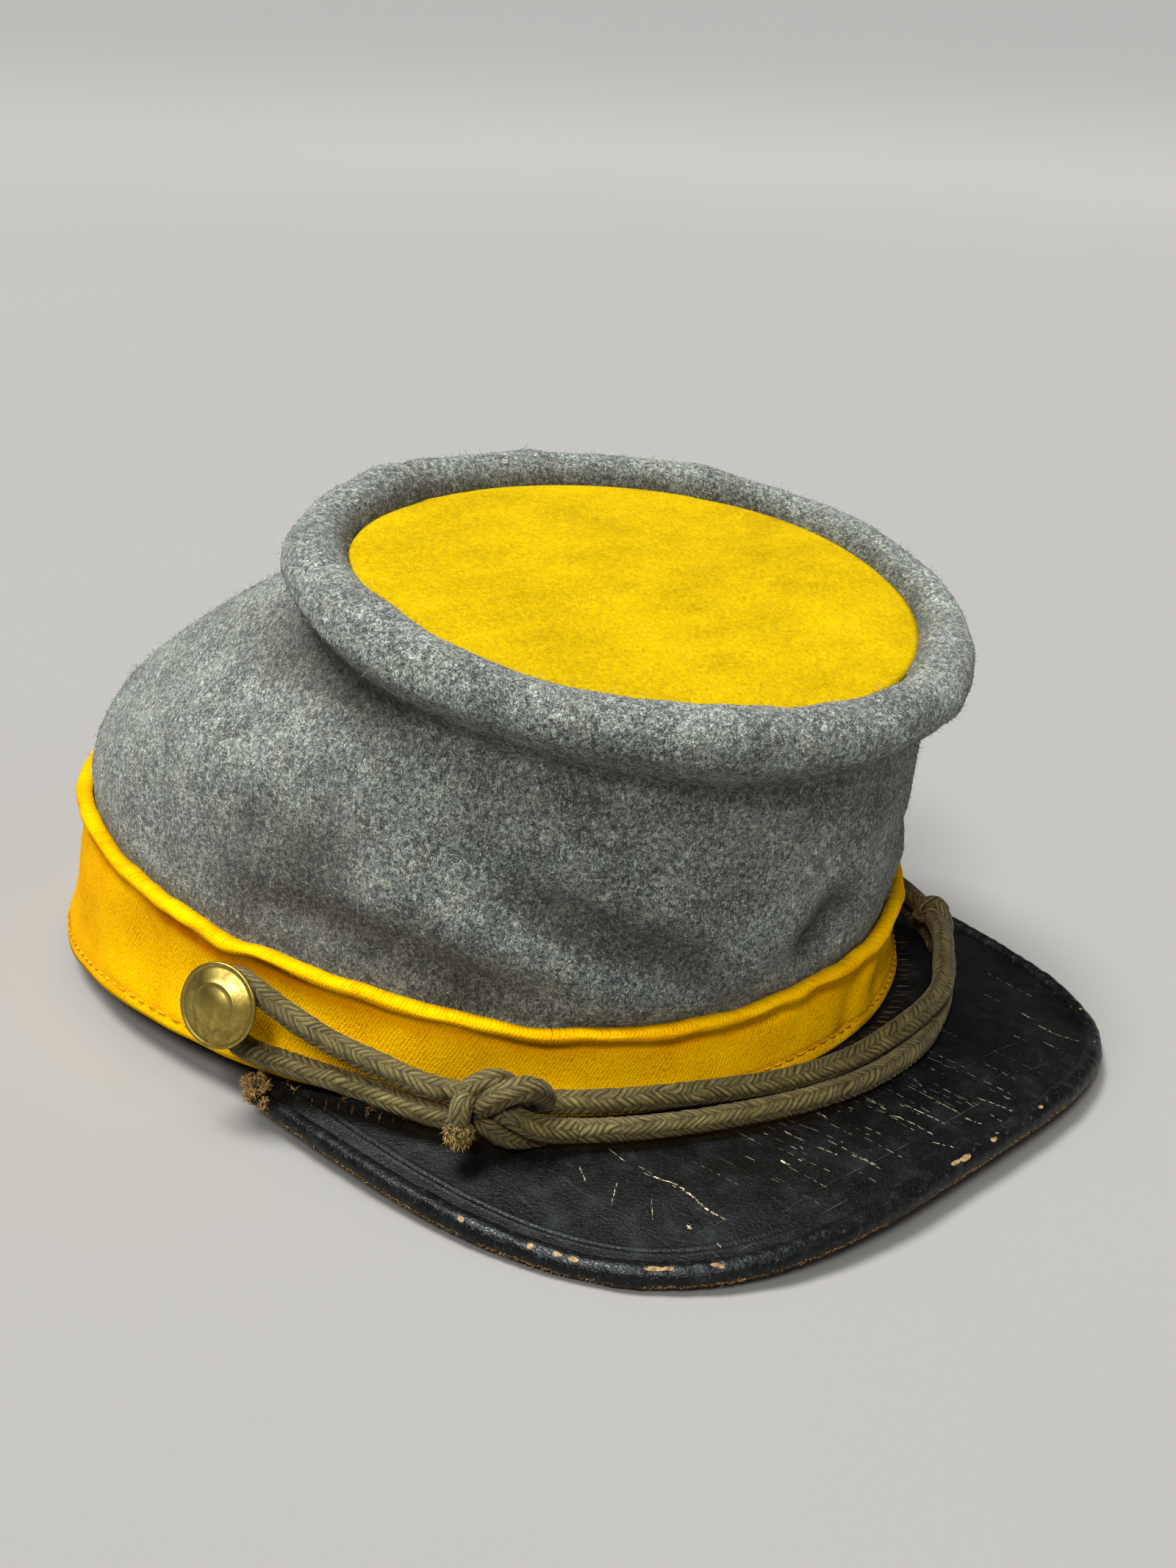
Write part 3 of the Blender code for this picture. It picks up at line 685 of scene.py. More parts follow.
cloth = 0.0024  # how thick the wool is
gap = 0.0003  # left between two layers of cloth
band = {
    "height": {"front": 0.0175, "side": 0.0272, "back": 0.0430},
    "drawnIn": {"front": 0.0014, "side": 0.0026, "back": 0.0085},  # narrower at the top by
    "waist": 0.0012,  # hollowed between foot and top by
    # dips and rises of the top edge: angle and half width (degrees), height
    "waves": ((-112.0, 12.0, 0.0010), (-66.0, 9.0, 0.0012), (-30.0, 12.0, -0.0010)),
    "weltHalf": 0.0014,  # half height of the rolled top edge, and how far it stands out
    "weltOut": 0.0011,
    "groove": (0.0006, 0.0040, 0.0013),  # how deep, how far below the top edge, and its half width
    "shadeAt": 0.0044,  # middle of the groove's shade, below the top edge
    # rows of points near the top edge, mm below it
    "nearRows": (0.05, 0.2, 0.4, 0.65, 0.9, 1.2, 1.5, 1.8, 2.1, 2.4, 2.7, 3.0, 3.4, 3.8, 4.3, 5.0),
    "stitchAt": 0.0030,  # above the hem
    "stitches": 190,
    "stitchShown": 0.7,  # share of each step in which the thread lies on top
    "stitchRise": 0.00020,
    "stitchThick": 0.00019,
    "weave": 0.00068,  # step from one twill line to the next
    # upright creases: angle and half width (degrees), lean from foot to top (degrees), depth
    "creases": ((9.0, 2.2, 3.0, -0.0007), (14.0, 3.5, 2.0, 0.0006), (-24.0, 6.0, 5.0, -0.0005),
                (40.0, 3.0, -3.0, -0.0006)),
    "stations": 520,
    "cut": (0.590, 0.043),  # length and height of the flat strip
    "area": 0.0172,  # the strip is lower at the front than at the back
    "colours": ((0.20, (0.42, 0.165, 0.0)), (0.46, (0.78, 0.42, 0.0)), (0.78, (0.93, 0.60, 0.001))),
    # colour of the painted shade in the groove and on the rolled edge, and of the darker orange behind the
    # button
    "creaseColour": (0.47, 0.155, 0.0),
    "napFibres": (6000, 0.00080, 0.000034, 36, (0.0, 0.8), 0.12),
    "nap": ((0.0, (0.50, 0.24, 0.0)), (0.5, (0.80, 0.46, 0.0)), (1.0, (0.95, 0.64, 0.01))),
    "thread": ((0.0, (0.46, 0.23, 0.0)), (1.0, (0.76, 0.45, 0.004))),
}
roll = {
    "oval": (0.0672, 0.0551, 2.04, 0.08),  # as for the foot
    "turn": math.radians(-10.8),  # in its own plane
    "nod": math.radians(13.8),  # forwards
    "lean": math.radians(0.6),  # sideways
    "centre": (0.0, -0.0480 + foot["back"], 0.0931),
    "across": 0.0061,  # half width and half height of the roll's section
    "up": 0.0064,
    "first": math.radians(-62),  # the section runs from the wall over the top to the yellow felt
    "last": math.radians(228),
    "rows": 40,
    "tuck": 202.5,  # angle of the seam that crosses the roll
    "tuckRelief": ((0.0006, 5.0, 4.5), (-0.0009, 0.0, 1.3)),  # height, angle from it and half width
    "valleyPasses": 26,  # how often the valley where the wall meets the roll is softened
}
wall = {
    # it leaves the band's edge upwards by rise and outwards by bulge, and comes to the roll's neck
    # from below by drop and outwards by flare
    "rise": {"front": 0.014, "side": 0.020, "back": 0.024},
    "bulge": {"front": 0.004, "side": 0.003, "back": 0.000},
    "drop": {"front": 0.014, "side": 0.016, "back": 0.010},
    "flare": {"front": 0.0028, "side": 0.005, "back": 0.022},
    "neckInset": 0.0012,  # inside the roll's centre line
    "neckBelow": 0.8,  # share of the roll's height radius
    # folds: depth and half width (mm), then the line of each: angle (degrees) and share up the wall
    "folds": (
        (-3.0, 4.2, ((-96, 0.15), (-81, 0.12), (-72, 0.13), (-64, 0.14), (-58, 0.15), (-48, 0.13),
                     (-36, 0.10), (-26, 0.07))),
        (2.2, 5.0, ((-70, 0.50), (-60, 0.42), (-50, 0.30), (-38, 0.235), (-24, 0.13), (-15, 0.04))),
        (-3.2, 4.6, ((-52, 0.42), (-43, 0.40), (-35, 0.36), (-26, 0.29), (-17, 0.19), (-11, 0.12))),
        (-2.8, 4.0, ((-4, 0.05), (0, 0.15), (3, 0.22), (7, 0.30), (12, 0.38))),
        (1.4, 5.5, ((-13, 0.10), (-9, 0.22), (-4, 0.34), (2, 0.46))),
        (-2.2, 9.0, ((-100, 0.36), (-84, 0.34), (-72, 0.30), (-62, 0.26))),
        (2.6, 8.0, ((-128, 0.36), (-112, 0.42), (-96, 0.50), (-84, 0.56), (-74, 0.60))),
        (-2.9, 5.0, ((-132, 0.74), (-116, 0.80), (-100, 0.85), (-88, 0.88), (-76, 0.91), (-60, 0.93))),
        (-2.5, 4.4, ((30, 0.07), (42, 0.11), (56, 0.15), (70, 0.14), (84, 0.11))),
        (1.9, 5.0, ((22, 0.10), (34, 0.22), (48, 0.30), (62, 0.36), (78, 0.42))),
        (-2.3, 5.0, ((24, 0.28), (36, 0.36), (50, 0.44), (64, 0.46))),
        (-2.3, 6.0, ((100, 0.18), (116, 0.26), (132, 0.32), (146, 0.30))),
        (2.0, 7.0, ((96, 0.50), (114, 0.46), (132, 0.44), (150, 0.46))),
        (-2.0, 6.0, ((158, 0.20), (172, 0.26), (186, 0.24), (200, 0.20))),
        (-3.3, 7.0, ((150, 0.80), (166, 0.82), (182, 0.83), (198, 0.81), (212, 0.78))),
    ),
    "perDegree": 1.30,  # mm round the wall for a degree, and up it for its whole height
    "perHeight": 42.0,
    # the painted shade in the folds is darkest at this depth
    "darkFold": 0.0022,  # a fold so deep is darkest
    # painted shade: how dark, share up the wall and half height, angle and half width (degrees); in the
    # valley under the roll, along the band, under the roll in front, and over the front of the wall
    "hollows": ((0.35, 0.95, 0.06, 0.0, math.inf), (0.60, 0.01, 0.035, 0.0, math.inf),
                (0.55, 0.84, 0.15, -22.0, 48.0), (0.24, 0.40, 0.45, -35.0, 45.0)),
    "hollowColour": (0.45, 0.42, 0.40),
    "stations": 340,
    "rows": 66,
    "colours": ((0.14, (0.026, 0.030, 0.033)), (0.40, (0.140, 0.158, 0.149)), (0.62, (0.345, 0.382, 0.338)),
                (0.92, (0.68, 0.735, 0.645))),
    "fibreColours": ((0.0, (0.024, 0.026, 0.028)), (0.40, (0.135, 0.148, 0.140)),
                     (0.75, (0.38, 0.42, 0.37)), (1.0, (0.70, 0.76, 0.67))),
    # short curls close to the cloth, then fewer and longer fibres that stand off it:
    # count, length, thickness, seed, lift and curl
    "fibres": {
        "crown_curls": (19000, 0.0012, 0.000055, 11, (0.0, 0.45), 0.26),
        "crown_nap": (14000, 0.0010, 0.000045, 12, (0.1, 0.8), 0.20),
        "crown_fuzz": (5500, 0.0020, 0.000030, 13, (0.6, 1.3), 0.15),
    },
}


def bandPoints(angle, rise, out=0.0):
    # foot oval drawn in towards the top and hollowed between, at a share of the band's height
    angle, rise, out = np.broadcast_arrays(angle, rise, out)
    inward = around(band["drawnIn"], angle) * rise + band["waist"] * 4 * rise * (1 - rise)
    wave = sum(up * hump(apart(angle, at) / half) for at, half, up in band["waves"])
    height = hemHeight(angle) + (around(band["height"], angle) + wave) * rise
    return withHeight(offFoot(angle, out - inward), height)


def turnAbout(axis, angle):
    # rotation by an angle about one axis
    s = math.sin(angle)
    c = math.cos(angle)
    rows = {"X": [[1, 0, 0], [0, c, -s], [0, s, c]], "Y": [[c, 0, s], [0, 1, 0], [-s, 0, c]],
            "Z": [[c, -s, 0], [s, c, 0], [0, 0, 1]]}
    return np.array(rows[axis])


rollFrame = turnAbout("X", roll["nod"]) @ turnAbout("Y", roll["lean"])
rollTurned = rollFrame @ turnAbout("Z", roll["turn"])


def rollPoints(angle, out, up):
    # oval of the roll's centre line, offset in its own plane and across it, then turned into place
    angle, out, up = np.broadcast_arrays(angle, out, up)
    flat = oval(angle, *roll["oval"]) + ovalNormal(angle, *roll["oval"]) * out[..., None]
    return withHeight(flat, up) @ rollTurned.T + roll["centre"]


def rollRows(rows):
    # turns about the middle of the roll: 0 outwards, 90 degrees at the top
    return np.linspace(roll["first"], roll["last"], rows)[:, None]


def foldRelief(angle, share):
    # each fold is a hump by the distance to the nearest stretch of its line, faded at both ends
    total = 0.0
    scale = np.array([wall["perDegree"], wall["perHeight"]])
    for deep, half, rows in wall["folds"]:
        line = np.array(rows, float)
        middle = line[:, 0].mean()
        place = np.stack([apart(angle, middle), share], axis=-1) * scale
        line = (line - [middle, 0.0]) * scale
        start = line[:-1]
        run = np.diff(line, axis=0)
        t = np.clip(((place[..., None, :] - start) * run).sum(-1) / (run**2).sum(-1), 0.0, 1.0)
        away = np.linalg.norm(place[..., None, :] - start - t[..., None] * run, axis=-1)
        nearest = away.argmin(axis=-1)[..., None]
        along = (np.take_along_axis(t, nearest, -1)[..., 0] + nearest[..., 0]) / len(run)
        fade = ease(along / 0.35) * ease((1 - along) / 0.35)
        total = total + deep * millimetre * hump(np.take_along_axis(away, nearest, -1)[..., 0] / half) * fade
    return total


def wallPoints(angle, share, out=0.0):
    # cubic from the band's top edge to the roll's neck, with its tangents at both ends
    angle, share = np.broadcast_arrays(angle, share)
    low = bandPoints(angle, 1.0, -cloth - gap)
    neck = rollPoints(angle, -wall["neckInset"], -wall["neckBelow"] * roll["up"])
    side = withHeight(ovalNormal(angle, *foot["oval"]), 0.0)
    first = low + around(wall["rise"], angle)[..., None] * upright
    first = first + around(wall["bulge"], angle)[..., None] * side
    last = neck - around(wall["drop"], angle)[..., None] * rollFrame[:, 2]
    last = last + around(wall["flare"], angle)[..., None] * side
    t = share[..., None]
    rest = 1 - t
    curve = low * rest**3 + first * 3 * t * rest**2 + last * 3 * t**2 * rest + neck * t**3
    return curve + side * (out + foldRelief(angle, share))[..., None]


padding = {
    "stations": 170,
    "rows": 20,
    "scale": 10.0,  # the cloth settings suit things of about a metre
    "pressure": 20.0,
    "slack": -0.015,  # minus is longer: the cloth is so much longer than the form, and puckers
    "frames": 20,
    "cap": 0.00045,  # how far a place may move
}


def swellRoll():
    # coarse open tube of the roll blown up as cloth with its two sewn edges held still; what comes
    # back is a table, by turn and angle, of how far each place moved out, less the mean of its row
    rows = padding["rows"]
    stations = padding["stations"]
    turn = rollRows(rows)
    start = rollPoints(anglesRound(stations)[None], roll["across"] * np.cos(turn), roll["up"] * np.sin(turn))
    normals = gridNormals(start)
    free = ease(np.minimum(np.arange(rows), np.arange(rows)[::-1]) / 3.0)[:, None]
    uneven = start + normals * (softNoise(start, 0.011, 6) * 0.00025 * free)[..., None]
    piece = addObject(gridMesh("roll_swelling", uneven * padding["scale"]))
    held = piece.vertex_groups.new(name="sewn")
    held.add([*range(stations), *range((rows - 1) * stations, rows * stations)], 1.0, "REPLACE")
    swell = piece.modifiers.new("swell", "CLOTH")
    swell.settings.vertex_group_mass = "sewn"
    swell.settings.use_pressure = True
    swell.settings.uniform_pressure_force = padding["pressure"]
    swell.settings.effector_weights.gravity = 0.0
    swell.settings.shrink_min = padding["slack"]
    swell.collision_settings.use_collision = False
    swell.point_cache.frame_start = 1
    swell.point_cache.frame_end = padding["frames"]
    for frameNumber in range(1, padding["frames"] + 1):
        bpy.context.scene.frame_set(frameNumber)
    after = piece.evaluated_get(bpy.context.evaluated_depsgraph_get()).data
    swollen = np.empty(rows * stations * 3, np.float32)
    after.vertices.foreach_get("co", swollen)
    bpy.context.scene.frame_set(1)
    bpy.data.objects.remove(piece)
    moved = ((swollen.reshape(rows, stations, 3) / padding["scale"] - start) * normals).sum(-1)
    moved = moved - moved.mean(axis=1, keepdims=True)
    print("kepi: roll swollen, moved by up to", round(float(np.abs(moved).max()) * 1000, 2), "mm")
    return np.tanh(moved / padding["cap"]) * padding["cap"] * free


def fromTable(table, rows, columns):
    # values between the places of a table whose columns run round, each weighed by its nearness
    high = np.linspace(0, table.shape[0] - 1, rows)
    low = np.minimum(high.astype(int), table.shape[0] - 2)
    share = (high - low)[:, None]
    table = table[low] * (1 - share) + table[low + 1] * share
    wide = np.arange(columns) * table.shape[1] / columns
    left = wide.astype(int)
    share = wide - left
    return table[:, left] * (1 - share) + table[:, (left + 1) % table.shape[1]] * share


wallAngle = anglesRound(wall["stations"])[None]
wallShare = np.linspace(0.0, 1.0, wall["rows"])[:-1, None]


def makeCrownGrid():
    # one profile swept round: tucked edge, wall, roll, and the cloth's inner face back to the edge
    tuck = [bandPoints(wallAngle, rise, -cloth - gap) for rise in (0.10, 0.45, 0.75, 0.92)]
    turn = rollRows(roll["rows"])
    top = rollPoints(wallAngle, roll["across"] * np.cos(turn), roll["up"] * np.sin(turn))
    raised = fromTable(swellRoll(), *top.shape[:2])
    for up, off, wide in roll["tuckRelief"]:
        raised = raised + up * hump(apart(wallAngle, roll["tuck"] + off) / wide)
    outer = np.concatenate([*tuck, wallPoints(wallAngle, wallShare), pushedOut(top, raised)])
    neck = len(tuck) + len(wallShare)
    for _ in range(roll["valleyPasses"]):
        outer[neck - 6:neck + 7] = (outer[neck - 7:neck + 6] + 2 * outer[neck - 6:neck + 7]
                                    + outer[neck - 5:neck + 8]) / 4
    lump = lumps(outer, (0.034, 3, 0.00060), (0.014, 4, 0.00026), (0.006, 5, 0.00007))
    rows = np.arange(len(outer))[:, None]
    free = ease((rows - len(tuck) + 1) / 8) * ease((len(outer) - rows) / 12)
    outer = pushedOut(outer, lump * free)
    inner = wallPoints(wallAngle, np.linspace(1.0, 0.0, 16)[1:, None], -cloth)
    foldIn = [bandPoints(wallAngle, rise, -2 * cloth - gap) for rise in (0.90, 0.45, 0.10)]
    return np.concatenate([outer, inner, *foldIn]), len(tuck), len(outer)


def fibreFlows(place, size):
    # tangled fibres: three layers of noise, each drawn out along another way, with one of blots
    place = scaled(place, size)
    ways = (((0.4, 0.2, 0.7), (1.0, 0.30, 0.8)), ((1.3, 0.8, 2.2), (0.30, 1.0, 0.8)),
            ((2.4, 1.5, 0.3), (0.8, 0.9, 0.28)))
    layers = [noiseAt(stretched(place, *way), 2300.0, 2.0, 0.6, 1.8) for way in ways]
    fibre = maths("MAXIMUM", maths("MAXIMUM", layers[0], layers[1]), layers[2])
    blot = noiseAt(place, 750.0, 3.0, 0.6, 0.8)
    # both are stretched about their middles, so that light fibres stand out from the dark below
    tone = (fibre - 0.60) * 2.6 + (blot - 0.50) * 1.2 + 0.5
    return {"Tone": tone, "Height": fibre + blot * 0.6}


fibreGroup = newGroup("tangledFibres", fibreFlows, Place=None, Size=1.0)


def makeGreyWool():
    # dark and light fibres mixed, clouded, browner in patches, and darkened by painted shade in the folds,
    # under the roll, along the band and in front
    made = newFinish("grey_heather_wool", Roughness=0.95, Sheen_Weight=0.15, Sheen_Roughness=0.6)
    place = objectPlace(made)
    fibres = useGroup(made, fibreGroup, Place=place, Size=1.3)
    tone = fibres["Tone"] + (noiseAt(place, 90.0, 4.0, 0.65) - 0.5) * 0.52
    colour = ramp(tone, *wall["colours"])
    colour = mixColour(between(noiseAt(place, 150.0), 0.50, 0.72), colour, (0.94, 0.89, 0.82), "MULTIPLY")
    # painted shade: darker in the folds, under the roll, along the band and in front
    colour = mixColour(attributeOf(made, "hollow"), colour, wall["hollowColour"], "MULTIPLY")
    return paint(made, colour, (fibres["Height"], 0.9, 0.0005))


def hollowShade(shape, first, last):
    # painted shade on the wool: in folds and the valley under the roll, along the band, where the front
    # lies in its own shade, in the seam tuck, and where the roll turns down to the yellow top
    shade = np.zeros(shape)
    folds = foldRelief(*np.broadcast_arrays(wallAngle, wallShare))
    dark = np.clip(-folds / wall["darkFold"], 0, 1)
    for add, high, tall, at, wide in wall["hollows"]:
        dark = dark + add * hump((wallShare - high) / tall) * hump(apart(wallAngle, at) / wide)
    neck = first + len(wallShare)
    shade[first:neck] = np.clip(dark, 0, 1)
    # painted shade on the roll's inner side as it turns down to the yellow top, and along the seam tuck
    inner = 0.85 * ease((np.degrees(rollRows(last - neck)) - 105.0) / 50.0)
    shade[neck:last] = np.clip(0.9 * hump(apart(wallAngle, roll["tuck"]) / 1.2) + inner, 0, 1)
    return shade


def makeCrown():
    # closed cloth in one piece, with loose fibres over the wall and the roll
    grid, first, last = makeCrownGrid()
    mesh = gridMesh("crown_wool", grid, loop=True, hollow=hollowShade(grid.shape[:2], first, last))
    crown = addPiece(mesh, makeGreyWool(), "crown", slot="grey_wool")
    shown = grid[first + 2:last - 6]
    finish = makeFibreFinish("grey_fibre_ends", *wall["fibreColours"])
    for name, row in wall["fibres"].items():
        addFibres(name, shown, gridNormals(shown), finish, "grey_wool", *row)


makeCrown()
print("kepi: crown")

disc = {
    "height": 0.0022,  # above the middle of the roll
    "gap": 0.0002,  # between the felt and the roll
    "thick": 0.0024,
    "rings": 44,
    "stations": 260,
    "cut": (0.123, 0.099),  # the flat oval that it is cut as
    "area": 0.0096,
    "colours": ((0.06, (0.30, 0.195, 0.0)), (0.30, (0.44, 0.30, 0.0)), (0.62, (0.61, 0.435, 0.001))),
}


def makeYellowFelt():
    # fine fibres and broad clouds drawn out across the top
    made = newFinish("yellow_felt", Roughness=0.92, Specular_IOR_Level=0.12)
    place = objectPlace(made)
    fibres = useGroup(made, fibreGroup, Place=place, Size=1.5)
    cloud = noiseAt(stretched(place, (0.0, 0.0, 0.9), (1.0, 2.2, 1.0)), 48.0, 4.0, 0.62)
    tone = fibres["Tone"] * 0.62 + (cloud - 0.5) * 0.55 + 0.10
    return paint(made, ramp(tone, *disc["colours"]), (fibres["Height"], 0.5, 0.00028))


def makeDisc():
    # oval rings from the middle out, gently waved, turned down at the edge and closed below
    angle = anglesRound(disc["stations"])[None]
    edge = roll["across"] * math.sqrt(1 - (disc["height"] / roll["up"]) ** 2) + disc["gap"]
    outline = oval(angle, *roll["oval"]) - ovalNormal(angle, *roll["oval"]) * edge

    def rings(share, height):
        # the outline shrunk to each share of its size
        return withHeight(outline * share[..., None], height)

    share = np.linspace(0.004, 1.0, disc["rings"])[:, None]
    wave = lumps(rings(share, 0.0), (0.045, 21, 0.00045), (0.017, 22, 0.00016))
    height = disc["height"] + (wave + 0.0004 * (1 - share**2)) * ease((1 - share) / 0.12) - 0.0005 * share**30
    under = rings(np.array([1.0, 0.8, 0.5, 0.2, 0.004])[:, None], disc["height"] - disc["thick"])
    grid = np.concatenate([rings(share, height), under]) @ rollTurned.T + roll["centre"]
    mesh = gridMesh("crown_top_felt", grid[:, ::-1], caps=True)
    top = addPiece(mesh, makeYellowFelt(), "crown_disc", slot="yellow_wool")


makeDisc()
print("kepi: yellow top")


def twillFlows(weave, step):
    # diagonal lines of a twill on a map in metres, broken up by fuzz, with single threads across
    across, up, _ = split(weave)
    bend = (noiseAt(weave, 200.0, 2.0, 0.5) - 0.5) * 0.0016
    lines = maths("DIVIDE", across * 0.86 - up * 0.5 + bend, step)
    wave = maths("SINE", lines * (2 * math.pi)) * 0.5 + 0.5
    thread = maths("SINE", maths("DIVIDE", up, step * 0.8) * (2 * math.pi)) * 0.5 + 0.5
    fuzz = (noiseAt(weave, 1400.0, 3.0, 0.65) - 0.5) * 1.7 + 0.5
    line = wave * 0.36 + fuzz * 0.86
    return {"Line": line, "Height": line + thread * 0.12}


def makeYellowTwill():
    # twill lines and clouds, turned orange by painted shade in the groove and on the rolled edge, and by the
    # darker orange behind the button
    made = newFinish("yellow_twill_cloth", Roughness=0.95, Specular_IOR_Level=0.06)
    group = newGroup("twillLines", twillFlows, Weave=None, Step=0.0007)
    twill = useGroup(made, group, Weave=weaveMap(made), Step=band["weave"])
    place = objectPlace(made)
    colour = ramp(twill["Line"] * 0.52 + noiseAt(place, 95.0, 4.0) * 0.55 - 0.04, *band["colours"])
    # painted shade in the groove and on the rolled edge, with the darker orange behind the button
    shadeAndTint = maths("MULTIPLY", attributeOf(made, "crease"), noiseAt(place, 130.0) + 0.45, clamp=True)
    colour = mixColour(shadeAndTint, colour, band["creaseColour"])
    return paint(made, colour, (twill["Height"], 0.6, 0.00022))


def bandRelief(angle, depth, tall, footLine):
    # how far the outer face stands out: rolled edge, turned in at its top, then the groove, the
    # line of stitches, the turned hem, the creases and soft waves that fade towards both edges
    rise = 1 - depth / tall
    fromHem = tall - depth
    half = band["weltHalf"] * (1 + 0.24 * softNoise(footLine, 0.017, 37))
    welt = np.clip(1 - ((depth - half * 0.95) / (half * 1.1)) ** 2, 0, 1) ** 0.6
    out = band["weltOut"] * (1 + 0.32 * softNoise(footLine, 0.011, 38)) * welt
    out = out - 0.0006 * np.clip(1 - depth / 0.0008, 0, 1) ** 1.5
    out = out - band["groove"][0] * hump((depth - band["groove"][1]) / band["groove"][2])
    out = out - 0.00028 * stitchLine(fromHem) - 0.0007 * np.clip(1 - fromHem / 0.0010, 0, 1) ** 2
    for at, wide, lean, deep in band["creases"]:
        across = (apart(angle, at) + lean * (1 - 2 * rise)) / wide
        out = out + deep * hump(across) * ease(depth / 0.006) * ease(fromHem / 0.003)
    place = bandPoints(angle, rise)
    soft = ease(depth / 0.004) * ease(fromHem / 0.006)
    wavy = softNoise(place * [1, 1, 1.6], 0.030, 31) * 0.00060 + softNoise(place, 0.012, 32) * 0.00026
    return out + wavy * soft + softNoise(place * [1, 1, 0.2], 0.016, 33) * 0.00022 * (1 - soft)


def stitchLine(fromHem):
    # 1 along the stitches, falling away on both sides
    return hump((fromHem - band["stitchAt"]) / 0.0005)


def bandShadeAndTint(angle, depth, tall, footLine):
    # painted shade, orange: in the groove under the rolled edge and less so in front, and on the rolled edge;
    # then a darker orange behind the button, and a little darker along the stitches
    groove = hump((depth - band["shadeAt"]) / 0.0019) * (0.70 + 0.40 * softNoise(footLine, 0.024, 35))
    groove = groove * (1 - 0.55 * hump(apart(angle, -8.0) / 38.0))
    # painted shade on the rolled edge, which dulls it
    edge = hump((depth - 0.0013) / 0.0013) * (0.26 + 0.20 * softNoise(footLine, 0.009, 40))
    # darker and more orange behind the button
    orangeBehindButton = 0.34 * hump(apart(angle, -122.0) / 30.0)
    return np.clip(np.maximum(np.maximum(groove, orangeBehindButton), edge), 0, 1) + stitchLine(tall - depth) * 0.35


def makeBand():
    # rows of the outer face by the distance from the top edge, close together near it; then the
    # inner face, from the top edge down
    angle = anglesRound(band["stations"])[None]
    footLine = bandPoints(angle, 0.0) * [1, 1, 0]
    tall = around(band["height"], angle)
    near = np.array(band["nearRows"])[:, None] * millimetre
    below = near[-1] + (tall - near[-1] - 0.0003) * np.linspace(0, 1, 26)[1:, None]
    depth = np.concatenate([near * np.ones_like(angle), below])
    rise = 1 - depth / tall
    outer = bandPoints(angle, rise, bandRelief(angle, depth, tall, footLine))
    ripple = lumps(outer[:1] * [1, 1, 0], (0.019, 34, 0.00055), (0.0075, 39, 0.00022))
    outer[..., 2] += ripple * ease(rise / 0.9)
    outer = outer[::-1]
    inside = np.array([0.985, 0.90, 0.6, 0.3, 0.02])[:, None]
    inner = bandPoints(angle, inside, -cloth)
    inner[:2, :, 2] += ripple[0]
    # map in metres: along the hem, and up; the last row back to the first shares the first's map
    ring = runLength(np.vstack([outer[0], outer[0, :1]]))
    heights = np.concatenate([(tall - depth)[::-1], tall * inside])
    heights = np.concatenate([heights, heights[:, :1]], axis=1)
    uv = np.stack(np.broadcast_arrays(ring[None], heights), axis=-1)
    shade = bandShadeAndTint(angle, depth, tall, footLine)[::-1]
    shade = np.concatenate([shade, np.zeros((len(inside), band["stations"]))])
    mesh = gridMesh("band_twill", np.concatenate([outer, inner]), loop=True,
                    uv=np.concatenate([uv, uv[:1]]), crease=shade)
    piece = addPiece(mesh, makeYellowTwill(), "band", slot="yellow_twill")
    shown = outer[4:]
    addFibres("band_nap", shown, gridNormals(shown), makeFibreFinish("yellow_fibre_ends", *band["nap"]),
              "yellow_twill", *band["napFibres"])


def makeHemStitches():
    # short stretches of thread along the hem: half a sine wave above the cloth, 6 rings of 6 points
    dice = np.random.default_rng(41)
    count = band["stitches"]
    step = 2 * math.pi / count
    t = np.linspace(0.0, 1.0, 6)
    start = (np.arange(count) + dice.normal(0, 0.05, count)) * step
    angle = start[:, None] + t[None] * step * band["stitchShown"]
    rise = band["stitchAt"] / around(band["height"], angle)
    path = bandPoints(angle, rise, 0.00002 + band["stitchRise"] * np.sin(math.pi * t)[None])
    outward = withHeight(ovalNormal(angle, *foot["oval"]), 0.0)
    radius = band["stitchThick"] * (0.35 + 0.65 * np.sin(math.pi * t))[None, :, None, None]
    points = path[:, :, None] + spokes(outward, upright, anglesRound(6)) * radius
    ends = np.array([[5, 4, 3, 2, 1, 0], [30, 31, 32, 33, 34, 35]])
    mesh = newMesh("band_hem_stitches", points, repeated(ringQuads(6, 6), count, 36),
                   repeated(ends, count, 36), tone=np.repeat(dice.random(count), 36))
    addPiece(mesh, makeFibreFinish("yellow_thread", *band["thread"]), slot="yellow_twill")


makeBand()
makeHemStitches()
print("kepi: band")

